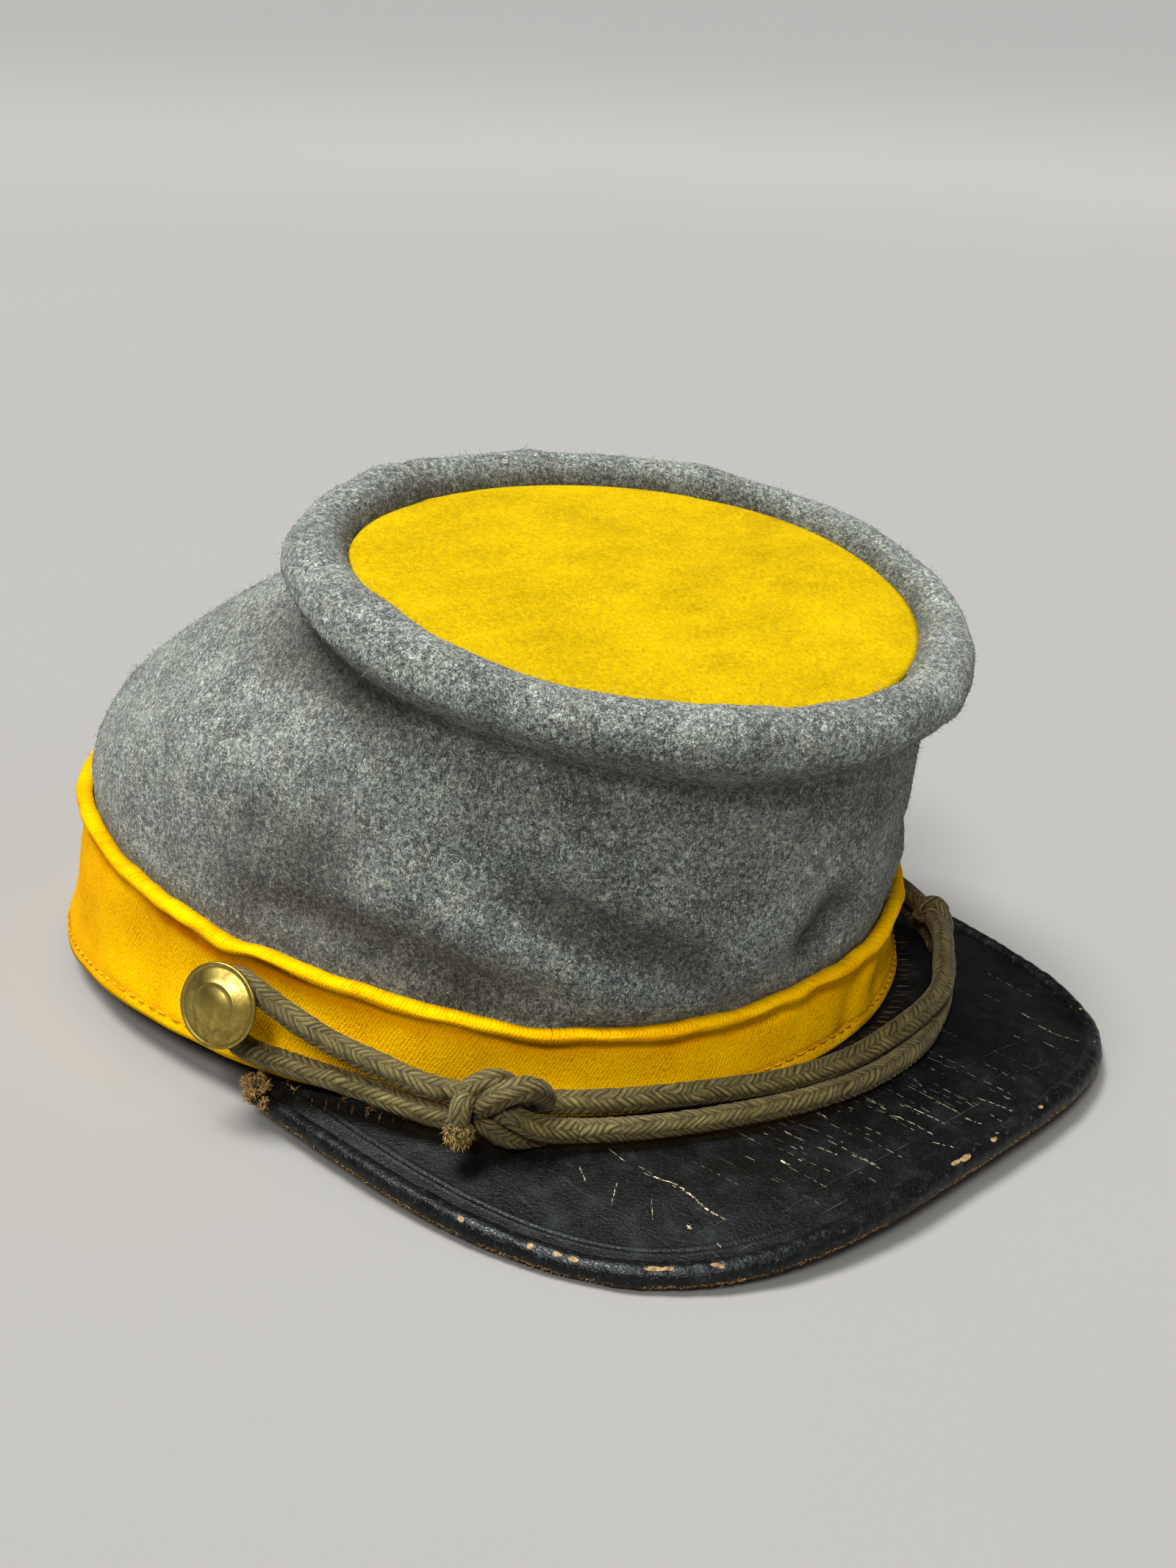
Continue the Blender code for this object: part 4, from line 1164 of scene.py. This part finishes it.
peak = {
    "halfWidth": 0.0856,
    "start": -0.0290 + foot["back"],  # where the two ends of the rim lie, from front to back
    "reach": 0.1070,  # from there to the front
    "square": 3.4,
    "seam": 0.0038,  # the leather starts so far inside the band's foot
    "seamEnd": math.radians(74),
    "thick": 0.0020,
    "dome": 0.0010,
    "liftCentre": 0.0036,  # how far the rim is off the floor at its middle and its ends
    "liftEnd": 0.0030,
    "corner": 0.55,  # share of the way from the middle to an end where it rests on the floor
    "bead": 0.0023,  # radius of the rolled edge
    "stations": 330,
    "rows": 84,
    "tooled": (0.0027, 0.0037),  # two pressed lines, from the rim
    "black": ((0.34, (0.0036, 0.0037, 0.0037)), (0.52, (0.0068, 0.0071, 0.0073)),
              (0.66, (0.0145, 0.016, 0.0175)), (0.78, (0.040, 0.043, 0.046))),
    "scratchColour": (0.095, 0.088, 0.072),
    "pitColour": (0.062, 0.068, 0.070),
    # light bluish grey of the scuffs on the rolled edge, partly a painted sheen
    "scuffSheenColour": (0.085, 0.094, 0.100),
    "suede": ((0.3, (0.055, 0.030, 0.016)), (0.7, (0.15, 0.09, 0.05))),
    "hide": ((0.35, (0.13, 0.075, 0.03)), (0.65, (0.42, 0.29, 0.14))),
    "rawEdge": ((0.36, (0.016, 0.011, 0.009)), (0.55, (0.060, 0.034, 0.018)), (0.70, (0.24, 0.13, 0.045))),
    "crackColours": ((0.0, (0.13, 0.11, 0.07)), (0.5, (0.30, 0.26, 0.18)), (1.0, (0.58, 0.52, 0.39))),
    "stitchColours": ((0.0, (0.05, 0.03, 0.015)), (1.0, (0.19, 0.13, 0.065))),
    "greyScratch": ((0.0, (0.06, 0.058, 0.050)), (1.0, (0.15, 0.14, 0.115))),
}


def rimLine(count):
    # centre line of the rolled edge: half of a squared oval, lifted at its middle and its ends
    q = np.linspace(-math.pi / 2, math.pi / 2, 1441)
    x = peak["halfWidth"] * np.sign(q) * np.abs(np.sin(q)) ** (2 / peak["square"])
    y = peak["start"] - peak["reach"] * np.abs(np.cos(q)) ** (2 / peak["square"])
    share = np.abs(q) / (math.pi / 2)
    back = np.clip((share - peak["corner"]) / (1 - peak["corner"]), 0, 1)
    lift = peak["liftCentre"] * (1 - ease(share / peak["corner"])) + peak["liftEnd"] * back**2
    return evenPlaces(np.column_stack([x, y, lift + peak["bead"]]), count)


def peakEdges(count):
    # lines of the seam, of the leather's outer edge inside the roll, and of the rim
    angle = np.linspace(-peak["seamEnd"], peak["seamEnd"], 721)
    seam = np.column_stack([offFoot(angle, np.full(len(angle), -peak["seam"])), hemHeight(angle) - gap])
    rim = rimLine(count)
    run = np.gradient(rim[:, :2], axis=0)
    inward = unit(np.column_stack([-run[:, 1], run[:, 0]]))
    edge = rim + [0.0, 0.0, peak["thick"] / 2]
    edge[:, :2] += inward * (peak["bead"] * 0.55)
    return evenPlaces(seam, count), edge, rim


def leatherFlows(place):
    # fine cracks between cells, grain, scuffs, and long scratches in two directions
    feeds = {"Vector": place, "Scale": 1100.0, "Randomness": 1.0}
    cells = addNode(place.tree, "TexVoronoi", feeds, "Distance", feature="DISTANCE_TO_EDGE")
    crack = 1.0 - maths("MULTIPLY", cells, 7.0, clamp=True)
    long = noiseAt(stretched(place, (0.0, 0.0, 0.10), (900.0, 60.0, 60.0)), 1.0, 3.0, 0.65, 0.2)
    cross = noiseAt(stretched(place, (0.0, 0.0, -0.30), (70.0, 1000.0, 70.0)), 1.0, 3.0, 0.65, 0.2)
    scratch = between(maths("MAXIMUM", long, cross), 0.66, 0.80)
    height = noiseAt(place, 1500.0) * 0.8 - crack * 0.35 - scratch * 0.8
    return {"Crack": crack, "Scratch": scratch, "Scuff": noiseAt(place, 150.0, 5.0, 0.70), "Height": height}


leatherGroup = newGroup("wornLeather", leatherFlows, Place=None)


def makeBlackLeather(name, flesh=True):
    # worn black leather, with bare suede below or, on the rolled edge, chips, a raw edge and lighter bluish
    # scuffs that are partly worn spots and partly a painted sheen
    made = newFinish(name, Specular_IOR_Level=0.30, Specular_Tint=(0.90, 0.96, 1.0))
    place = objectPlace(made)
    worn = useGroup(made, leatherGroup, Place=place)
    colour = mixColour(worn["Scratch"] * 0.35, ramp(worn["Scuff"], *peak["black"]), peak["scratchColour"])
    colour = mixColour(between(noiseAt(place, 2400.0, 2.0), 0.60, 0.76, 0.6), colour, peak["pitColour"])
    rough = worn["Scuff"] * 0.35 + (0.24 if flesh else 0.15) + worn["Crack"] * 0.12
    if flesh:
        bare = attributeOf(made, "under")
        colour = mixColour(bare, colour, ramp(noiseAt(place, 800.0, 4.0, 0.7), *peak["suede"]))
    else:
        ragged = noiseAt(place, 900.0, 3.0, 0.65)
        chip = between(attributeOf(made, "chip") * (ragged + 0.5), 0.46, 0.54)
        # lighter bluish scuffs on the rolled edge: worn spots, with a painted sheen in their bluish tone
        scuffSheen = between(noiseAt(place, 620.0, 5.0, 0.75), 0.57, 0.72, 0.7)
        specks = noiseAt(place, 700.0, 4.0, 0.75)
        raw = between(attributeOf(made, "raw") * (specks + 0.5), 0.40, 0.70)
        colour = mixColour(scuffSheen, colour, peak["scuffSheenColour"])
        colour = mixColour(raw, colour, ramp(specks, *peak["rawEdge"]))
        colour = mixColour(chip, colour, ramp(ragged, *peak["hide"]))
        bare = maths("MAXIMUM", raw, chip)
    rough = maths("ADD", rough, bare * 0.4, clamp=True)
    return paint(made, colour, (worn["Height"], 0.45, 0.00020), Roughness=rough)


def makePeak():
    # lines from the seam to the rim, domed between, pressed along two lines near the rim
    count = peak["stations"]
    seam, edge, rim = peakEdges(count)
    width = np.linalg.norm((edge - seam)[:, :2], axis=1)

    def face(share, down):
        # straight from seam to edge, raised by a sine wave that is highest at the widest place
        made = seam[None] * (1 - share[..., None]) + edge[None] * share[..., None]
        made[..., 2] += peak["dome"] * np.sin(math.pi * share) * (width / width.max())[None] - down
        return made

    inner = np.linspace(0.0, 0.70, 44)[:-1]
    upper = face(np.concatenate([inner, np.linspace(0.70, 1.0, peak["rows"] - len(inner))])[:, None], 0.0)
    flat = upper[..., :2].reshape(-1, 2)
    far = np.min([np.linalg.norm(flat - corner, axis=1) for corner in rim[::2, :2]], axis=0)
    far = far.reshape(upper.shape[:2]) - peak["bead"] * 0.55
    for line in peak["tooled"]:
        upper[..., 2] += 0.00012 * hump((far - line) / 0.00030)
    upper[..., 2] -= 0.00012 * hump((far - sum(peak["tooled"]) / 2) / 0.0004)
    upper[..., 2] += softNoise(upper * [1, 1, 0.3], 0.035, 41) * 0.00026 * ease(far / 0.008)
    upper[..., 2] += softNoise(upper * [1, 1, 0.3], 0.009, 42) * 0.00005
    lower = face(np.linspace(1.0, 0.0, 14)[:, None], peak["thick"])
    grid = np.concatenate([upper, lower]).transpose(1, 0, 2)[::-1, ::-1]
    under = np.concatenate([np.zeros(len(upper)), np.ones(len(lower))])[::-1]
    mesh = gridMesh("peak_leather", grid, caps=True, under=np.tile(under, (count, 1)))
    addPiece(mesh, makeBlackLeather("black_leather"), "peak", slot="black_leather")
    return upper


def onPeak(upper, flat):
    # height of the upper face at places given by x and y: mean of its four nearest points, each
    # weighed by 1 / distance^2
    table = upper[::2].reshape(-1, 3)
    heights = np.zeros(len(flat))
    for start in range(0, len(flat), 400):
        away = ((flat[start:start + 400, None] - table[None, :, :2]) ** 2).sum(-1)
        near = np.argpartition(away, 4, axis=1)[:, :4]
        weight = 1 / (np.take_along_axis(away, near, 1) + 1e-9)
        heights[start:start + 400] = (table[near, 2] * weight).sum(1) / weight.sum(1)
    return heights


cracks = {
    "height": 0.00004,
    "stations": 7,
    "fine": 58,
    "stitches": 80,
    # broken lines seen near the front: half width (mm), then x and y of each bend (mm)
    "chains": (
        (0.16, (-52.3, -79.2), (-51.7, -81.8), (-50.6, -84.9)),
        (0.26, (-50.6, -84.9), (-50.7, -87.5), (-50.9, -90.2), (-51.4, -92.1), (-51.5, -94.6),
         (-51.2, -97.9)),
        (0.22, (-23.1, -87.9), (-23.3, -90.7), (-23.1, -93.1)),
        (0.30, (-31.4, -93.8), (-31.4, -96.0)), (0.25, (-28.6, -95.7), (-28.7, -96.6)),
        (0.25, (-25.1, -93.2), (-25.4, -94.3)), (0.12, (-62.5, -81.1), (-60.9, -79.9), (-57.4, -77.6)),
        (0.13, (-51.9, -70.0), (-52.4, -75.2)), (0.14, (-59.4, -70.0), (-61.4, -73.7)),
        (0.40, (-56.7, -93.9), (-57.2, -95.0)), (0.10, (-56.4, -85.0), (-60.0, -88.7)),
        (0.22, (-56.4, -100.3), (-56.6, -101.6)), (0.20, (-13.1, -87.2), (-13.7, -89.8)),
        (0.16, (-12.5, -86.9), (-13.6, -90.8)),
        (0.14, (1.4, -97.6), (1.9, -101.8), (2.3, -104.6), (2.3, -106.6)),
        (0.20, (-2.6, -95.0), (-2.6, -96.4)),
        (0.16, (-3.2, -98.4), (-2.5, -102.1), (-2.6, -105.0), (-2.5, -107.4)),
        (0.14, (10.6, -93.2), (9.5, -96.1)), (0.16, (-2.1, -91.0), (-2.4, -93.8)),
        (0.13, (15.0, -105.4), (16.2, -108.7), (17.0, -112.1)), (0.13, (7.2, -107.6), (8.4, -111.4)),
        (0.14, (12.5, -109.7), (12.1, -114.0)), (0.14, (-4.8, -108.6), (-2.7, -112.1)),
        (0.17, (-20.0, -101.4), (-19.4, -104.5), (-19.6, -107.6)), (0.20, (-22.8, -95.6), (-22.1, -99.6)),
        (0.16, (54.5, -90.3), (54.3, -93.5)), (0.12, (53.0, -95.5), (52.9, -99.9), (55.5, -104.1)),
    ),
    # long thin scratches that run across them
    "scratches": (
        (0.05, (-55.7, -104.1), (-49.2, -105.4)), (0.04, (-58.7, -96.1), (-51.3, -97.7)),
        (0.045, (-44.0, -103.6), (-33.0, -103.9), (-19.0, -105.4), (-2.9, -106.2), (6.8, -106.4),
         (15.4, -106.7)),
        (0.045, (-38.0, -108.5), (-24.0, -109.6), (-8.0, -110.2)), (0.035, (32.4, -105.8), (40.5, -106.3)),
        (0.035, (-66.0, -68.0), (-58.5, -66.0)), (0.035, (20.0, -98.0), (30.0, -97.0), (41.0, -97.8)),
    ),
}


def slivers(name, ends, halves, upper, finish, dice):
    # short ridges on the leather: a diamond section that narrows at both ends by a root of 1 - t^2
    t = np.linspace(-1.0, 1.0, cracks["stations"])
    first = ends[:, 0]
    last = ends[:, 1]
    middle = (first + last)[:, None] / 2 + (last - first)[:, None] / 2 * t[None, :, None]
    across = unit(np.stack([-(last - first)[:, 1], (last - first)[:, 0]], axis=-1))
    wander = dice.normal(size=(len(ends), len(t))) * halves[:, None] * 0.35
    middle = middle + across[:, None] * wander[..., None]
    half = halves[:, None] * (0.12 + 0.88 * np.sqrt(1 - t**2)) * dice.uniform(0.55, 1.3, (len(ends), len(t)))
    height = onPeak(upper, middle.reshape(-1, 2)).reshape(half.shape)
    sides = []
    for reach, up in ((1.0, 0.0), (0.0, cracks["height"]), (-1.0, 0.0), (0.0, -0.0003)):
        sides.append(withHeight(middle + across[:, None] * (half * reach)[..., None], height + up))
    size = len(t) * 4
    quads = np.vstack([ringQuads(len(t), 4), [[3, 2, 1, 0]], [range(size - 4, size)]])
    mesh = newMesh(name, np.stack(sides, axis=2), repeated(quads, len(ends), size),
                   tone=np.repeat(dice.random(len(ends)), size))
    mesh.shade_flat()
    addPiece(mesh, finish, slot="black_leather")


def dashes(rows, dice, size, space):
    # lines cut into dashes of random length with random spaces: ends and half width of each dash
    ends = []
    halves = []
    for half, *bends in rows:
        line = np.array(bends, float) * millimetre
        whole = runLength(line)[-1]
        pieces = dice.uniform(*size, 200)
        spaces = dice.uniform(*space, 200)
        start = np.concatenate([[0.0], np.cumsum(pieces + spaces)[:-1]])
        keep = start < whole - size[0] * 0.4
        stop = np.minimum(start[keep] + pieces[keep], whole)
        ends.append(np.stack([atRun(line, start[keep]), atRun(line, stop)], axis=1))
        halves.append(np.full(len(stop), half * millimetre) * dice.uniform(0.7, 1.15, len(stop)))
    return np.vstack(ends), np.concatenate(halves)


def makeCracks(upper):
    # broken lines seen near the front, fine ones between, seam stitches and scratches
    dice = np.random.default_rng(81)
    ends, halves = dashes(cracks["chains"], dice, (0.0010, 0.0026), (0.0001, 0.0005))
    # many fine broken lines that run from the band towards the rim, most of them near the middle
    count = cracks["fine"]
    most = count * 3 // 4
    x = np.concatenate([dice.normal(-1.0, 18.0, most), dice.uniform(-70, 70, count - most)])
    start = np.column_stack([x, -80.0 - 25.0 * dice.random(count) + 0.5 * np.maximum(np.abs(x) - 45.0, 0)])
    turn = dice.normal(0.05, 0.06, count)
    stop = start + np.column_stack([np.sin(turn), -np.cos(turn)]) * dice.uniform(3.0, 12.0, count)[:, None]
    rows = zip(dice.uniform(0.026, 0.075, count), start, stop)
    fine, fineHalves = dashes(rows, dice, (0.0006, 0.0024), (0.0003, 0.0018))
    rim = rimLine(400)[:, :2]
    reach = np.min(np.linalg.norm(fine[:, 1, None] - rim[None], axis=-1), axis=1)
    inside = (np.interp(fine[:, 1, 0], rim[:, 0], rim[:, 1]) < fine[:, 1, 1]) & (reach > 0.0036)
    slivers("peak_cracks", np.vstack([ends, fine[inside]]), np.concatenate([halves, fineHalves[inside]]),
            upper, makeFibreFinish("bare_hide", *peak["crackColours"]), dice)
    # stitches across the seam at the band's foot
    count = cracks["stitches"]
    angle = np.linspace(-69.0, 69.0, count) + dice.normal(0.0, 0.18, count)
    near = offBand(angle, dice.uniform(0.2, 0.8, count), 0 * angle)[:, :2]
    far = offBand(angle + dice.normal(0.5, 0.25, count), dice.uniform(2.6, 3.6, count), 0 * angle)[:, :2]
    slivers("peak_seam_stitches", np.stack([near, far], axis=1), np.full(count, 0.00019), upper,
            makeFibreFinish("tan_thread", *peak["stitchColours"]), dice)
    ends, halves = dashes(cracks["scratches"], dice, (0.004, 0.009), (0.0, 0.0008))
    finish = makeFibreFinish("grey_scratch", *peak["greyScratch"])
    slivers("peak_scratches", ends, halves, upper, finish, dice)


tufts = {
    "threads": 46,  # for each millimetre of size
    # x, y and z (mm), then the size (mm)
    "places": (
        (-80.4, -12.8, 8.0, 1.0), (-80.9, -15.2, 7.6, 0.9), (-77.0, -25.4, 8.5, 1.0),
        (-75.1, -31.2, 8.5, 1.1), (-72.5, -37.7, 8.5, 1.2), (-69.9, -41.9, 8.6, 1.1),
        (-68.9, -43.6, 8.4, 0.7), (-86.3, -7.2, 8.2, 1.6), (-87.2, -9.6, 6.6, 1.8),
        (-85.4, -11.4, 8.2, 1.3), (-87.0, -13.4, 6.2, 1.3), (-84.6, -8.8, 9.0, 1.3),
        (79.9, -13.6, 8.0, 0.8), (76.4, -27.0, 8.3, 0.9), (73.0, -36.5, 8.3, 0.7),
        (86.4, -8.0, 7.8, 1.4), (86.6, -11.2, 6.2, 1.3), (84.9, -10.0, 8.6, 1.0),
    ),
    "colours": ((0.0, (0.30, 0.17, 0.055)), (0.55, (0.64, 0.41, 0.14)), (1.0, (0.86, 0.66, 0.30))),
}
bead = {
    "step": 0.0005,
    "sides": 28,
    "slim": 0.74,  # radius at the back corners as a share of the radius in front
    "slimUntil": 0.17,
    # places where the black has chipped off: share along the rim, half length (mm), turn about the
    # roll (degrees, from the side outwards, 90 is the top), half turn
    "chips": (
        (0.1723, 0.9, 55, 26), (0.2139, 0.9, 60, 28), (0.2289, 1.2, 62, 22), (0.2375, 1.4, 58, 22),
        (0.2790, 2.6, 66, 20), (0.2860, 1.6, 70, 18), (0.3100, 1.4, 72, 18), (0.3128, 1.0, 60, 18),
        (0.4761, 2.2, 66, 22), (0.4850, 2.4, 60, 26), (0.5130, 1.5, 60, 18), (0.5190, 0.8, 76, 14),
        (0.5640, 1.0, 66, 20), (0.6732, 0.7, 80, 18), (0.7240, 0.8, 90, 20), (0.8320, 1.0, 55, 22),
    ),
    "chipDeep": 0.00012,
    "corner": 260,  # steps along the rim that count as a back corner
    "rawLines": ((1.55, -1.50), (2.05, -0.75)),  # mm out and up from the roll's middle
    # number of loose ends on each stretch of the rim, and its seed
    "rawEnds": {"near": (1700, 59), "front": (1700, 60), "far": (1200, 58)},
    "hideColours": ((0.0, (0.07, 0.038, 0.016)), (0.55, (0.27, 0.15, 0.055)), (1.0, (0.58, 0.41, 0.18))),
}


def makeBead():
    # tube round the rim, slimmer at the back, with lumps, a raw lower side and chips
    rim = evenSteps(rimLine(1200), bead["step"])
    share = np.linspace(0, 1, len(rim))[:, None]
    slim = bead["slim"] + (1 - bead["slim"]) * ease(np.minimum(share, 1 - share) / bead["slimUntil"])
    grid = tubeGrid(rim, peak["bead"] * 0.97 * slim, bead["sides"])
    # turn of each point about the roll: 0 outwards, 90 at the top, -90 below
    spoke = grid - rim[:, None]
    run = unit(np.gradient(rim[:, :2], axis=0))
    outward = np.column_stack([run[:, 1], -run[:, 0]])
    turn = np.degrees(np.arctan2(spoke[..., 2], (spoke[..., :2] * outward[:, None]).sum(-1)))
    lump = lumps(grid, (0.010, 51, 0.00012), (0.0025, 52, 0.00007))
    raw = ease((-turn - 4) / 32) * (turn > -135)
    raw = raw + 0.45 * ease((0.05 - share) / 0.04) * (np.abs(turn - 10) < 80)
    raw = np.clip(raw * (0.85 + 0.5 * softNoise(grid, 0.012, 53)), 0, 1)
    lump = lump + softNoise(grid, 0.0012, 54) * 0.00009 * raw
    chip = np.zeros(turn.shape)
    for at, long, high, wide in bead["chips"]:
        along = hump((share - at) * runLength(rim)[-1] / (long * 0.85 * millimetre))
        chip = np.maximum(chip, along * hump((turn - high) / (wide * 0.66)))
    grid = pushedOut(grid, lump - bead["chipDeep"] * (chip > 0.45))
    mesh = gridMesh("peak_edge_roll", grid, caps=True, chip=chip, raw=raw)
    addPiece(mesh, makeBlackLeather("black_edge_leather", flesh=False), "peak_binding", slot="black_leather")
    makeHideEnds(rim, outward, slim)


def makeHideEnds(rim, outward, slim):
    # short tan ends of the hide along the raw lower edge, most of them near the two back corners
    finish = makeFibreFinish("hide_ends", *bead["hideColours"])
    lines = []
    for reach, up in bead["rawLines"]:
        away = np.column_stack([outward * reach, np.full(len(rim), up)])
        lines.append(rim + away * millimetre * slim)
    strip = np.stack(lines, axis=1)
    normals = unit(np.column_stack([outward, np.full(len(rim), -0.55)]))[:, None]
    normals = np.broadcast_to(normals, strip.shape)
    edges = [0, bead["corner"], len(rim) - bead["corner"], len(rim)]
    for (label, (count, seed)), first, last in zip(bead["rawEnds"].items(), edges, edges[1:]):
        addFibres("peak_edge_ends_" + label, strip[first:last], normals[first:last], finish, "black_leather",
                  count, 0.00075, 0.00007, seed, (0.2, 1.0), 0.2)


def makeTufts():
    # small tangles of thread at the seam, and larger ones at the two back corners
    dice = np.random.default_rng(91)
    spots = np.array(tufts["places"])
    spots = np.repeat(spots, (spots[:, 3] * tufts["threads"]).astype(int), axis=0)
    size = spots[:, 3:4] * millimetre
    up = unit(dice.normal(size=(len(spots), 3)) + [0.0, 0.0, 0.7])
    place = spots[:, :3] * millimetre + dice.normal(size=(len(spots), 3)) * size * 0.30
    way = unit(np.cross(up, dice.normal(size=(len(spots), 3))) + up * 0.4)
    long = size * dice.uniform(0.8, 1.7, (len(spots), 1))
    mesh = fibreMesh("seam_tangles", place, up, way, long, 0.00010, 0.38, dice)
    addPiece(mesh, makeFibreFinish("tangled_thread", *tufts["colours"]), slot="black_leather")


upperFace = makePeak()
makeCracks(upperFace)
makeBead()
makeTufts()
print("kepi: peak")

button = {
    "foot": (0.0842, -0.0248 + foot["back"], 0.0237),  # where the post stands, on the left side
    "axis": (0.90, -0.33, 0.28),
    "stand": 0.0089,  # from there to height 0 of the profile
    # turned profile from the crest out and back to the post: radius and height, mm
    "profile": ((0.02, 2.62), (0.8, 2.60), (1.6, 2.50), (2.6, 2.28), (3.5, 1.96), (4.15, 1.70), (4.35, 1.73),
                (4.55, 1.69), (4.75, 1.50), (5.4, 1.20), (6.1, 0.84), (6.7, 0.50), (7.1, 0.24), (7.3, 0.15),
                (7.5, 0.23), (7.75, 0.34), (8.0, 0.33), (8.18, 0.18), (8.22, -0.1), (8.1, -0.5), (7.8, -0.85),
                (6.5, -1.05), (4.0, -1.15), (1.6, -1.2), (1.3, -1.6), (1.3, -7.9), (0.02, -8.0)),
    "stations": 72,
    "colours": ((0.35, (0.23, 0.155, 0.034)), (0.50, (0.41, 0.32, 0.092)), (0.66, (0.56, 0.46, 0.150))),
    "roughness": ((0.35, 0.48), (0.66, 0.34)),
    "metallic": ((0.30, 0.75), (0.50, 1.0)),
}


def makeBrass():
    # brass that is browner, duller and less metallic where less of it is polished
    made = newFinish("aged_brass")
    place = objectPlace(made)
    spots = noiseAt(place, 1500.0)
    polish = noiseAt(place, 420.0, 4.0, 0.65, 0.4) * 0.75 + spots * 0.25
    return paint(made, ramp(polish, *button["colours"]), (spots, 0.15, 0.00012),
                 Roughness=ramp(polish, *button["roughness"]), Metallic=ramp(polish, *button["metallic"]))


def makeButton(word, side, finish):
    # the profile turned about the button's axis, from the post's end to the crest
    profile = np.array(button["profile"])[::-1] * millimetre
    axis = unit(np.array(button["axis"]) * (side, 1, 1))
    first = unit(np.cross(upright, axis))
    ring = spokes(first, np.cross(axis, first), anglesRound(button["stations"]))
    centre = np.array(button["foot"]) * (side, 1, 1) + axis * button["stand"]
    grid = centre + ring[None] * profile[:, None, :1] + axis * profile[:, None, 1:]
    grid = pushedOut(grid, softNoise(grid, 0.006, 61) * 0.00006)
    addPiece(gridMesh("side_button_" + word, grid, caps=True), finish, "button_" + word, slot="button_brass")


brass = makeBrass()
makeButton("right", -1, brass)
makeButton("left", 1, brass)
print("kepi: buttons")

studio = {
    # profile of the floor and the backdrop all round it: distance from the middle and height
    "profile": ((0.00001, 0.0), (0.6, 0.0), (1.6, 0.0), (2.2, 0.0), (2.6, 0.06), (2.95, 0.30), (3.15, 0.75),
                (3.2, 1.5)),
    "floorColour": (0.29, 0.287, 0.280),
    "backdrop": (0.40, 0.396, 0.388),
    # turn from the front and height of each soft light (degrees), its breadth (degrees), power and tint
    "lights": {
        "key": (-130.0, 70.0, 22.0, 3.05, (1.0, 0.98, 0.94)),
        "side": (-60.0, 46.0, 15.0, 1.95, (1.0, 0.985, 0.96)),
        "above": (-100.0, 84.0, 40.0, 0.75, (0.97, 0.99, 1.0)),
        "front": (12.0, 22.0, 60.0, 0.62, (1.0, 0.97, 0.94)),
    },
    "room": 0.08,
    "roomTint": (0.86, 0.90, 0.95),
}


def makeStage():
    # the profile turned about the upright axis; the backdrop above the floor looks evenly pale
    # from every side, and lights nothing
    made = newFinish("pale_floor", Roughness=0.9, Emission_Color=studio["backdrop"])
    place = objectPlace(made)
    plain = studio["floorColour"]
    shade = ramp(noiseAt(place, 3.0, 4.0), (0.3, tuple(c * 0.985 for c in plain)), (0.7, plain))
    above = between(split(place)[2], 0.0, 0.22, interpolation_type="SMOOTHSTEP")
    seen = addNode(made.node_tree, "LightPath", gives="Is Camera Ray")
    paint(made, mixColour(above, shade, (0.0, 0.0, 0.0)), Emission_Strength=above * seen)
    profile = np.array(studio["profile"])[::-1, None]
    ring = spokes(np.array([1.0, 0.0, 0.0]), np.array([0.0, 1.0, 0.0]), anglesRound(96))
    grid = ring[None] * profile[..., :1] + upright * (profile[..., 1:] - 0.0002)
    floor = addObject(gridMesh("floor", grid))
    floor.data.materials.append(made)
    floor.visible_shadow = False  # light from behind the backdrop still reaches the floor


def addSoftLight(name, turn, rise, breadth, power, tint):
    # parallel light from a direction, softened by its breadth in the sky
    data = bpy.data.lights.new(name, "SUN")
    data.angle = math.radians(breadth)
    data.energy = power
    data.color = tint
    back = towards(turn, rise)
    right = unit(np.cross(upright, back))
    stand(addObject(data), right, np.cross(back, right), back, back * 2.0)


makeStage()
for label, row in studio["lights"].items():
    addSoftLight(label, *row)
scene = bpy.context.scene
scene.world = bpy.data.worlds.new("soft_room")
scene.world.use_nodes = True
sky = scene.world.node_tree.nodes["Background"].inputs
feedSocket(sky["Color"], studio["roomTint"])
feedSocket(sky["Strength"], studio["room"])
scene.view_settings.view_transform = "Standard"
scene.view_settings.look = "Medium High Contrast"
print("kepi: floor and light")

bpy.context.view_layer.update()
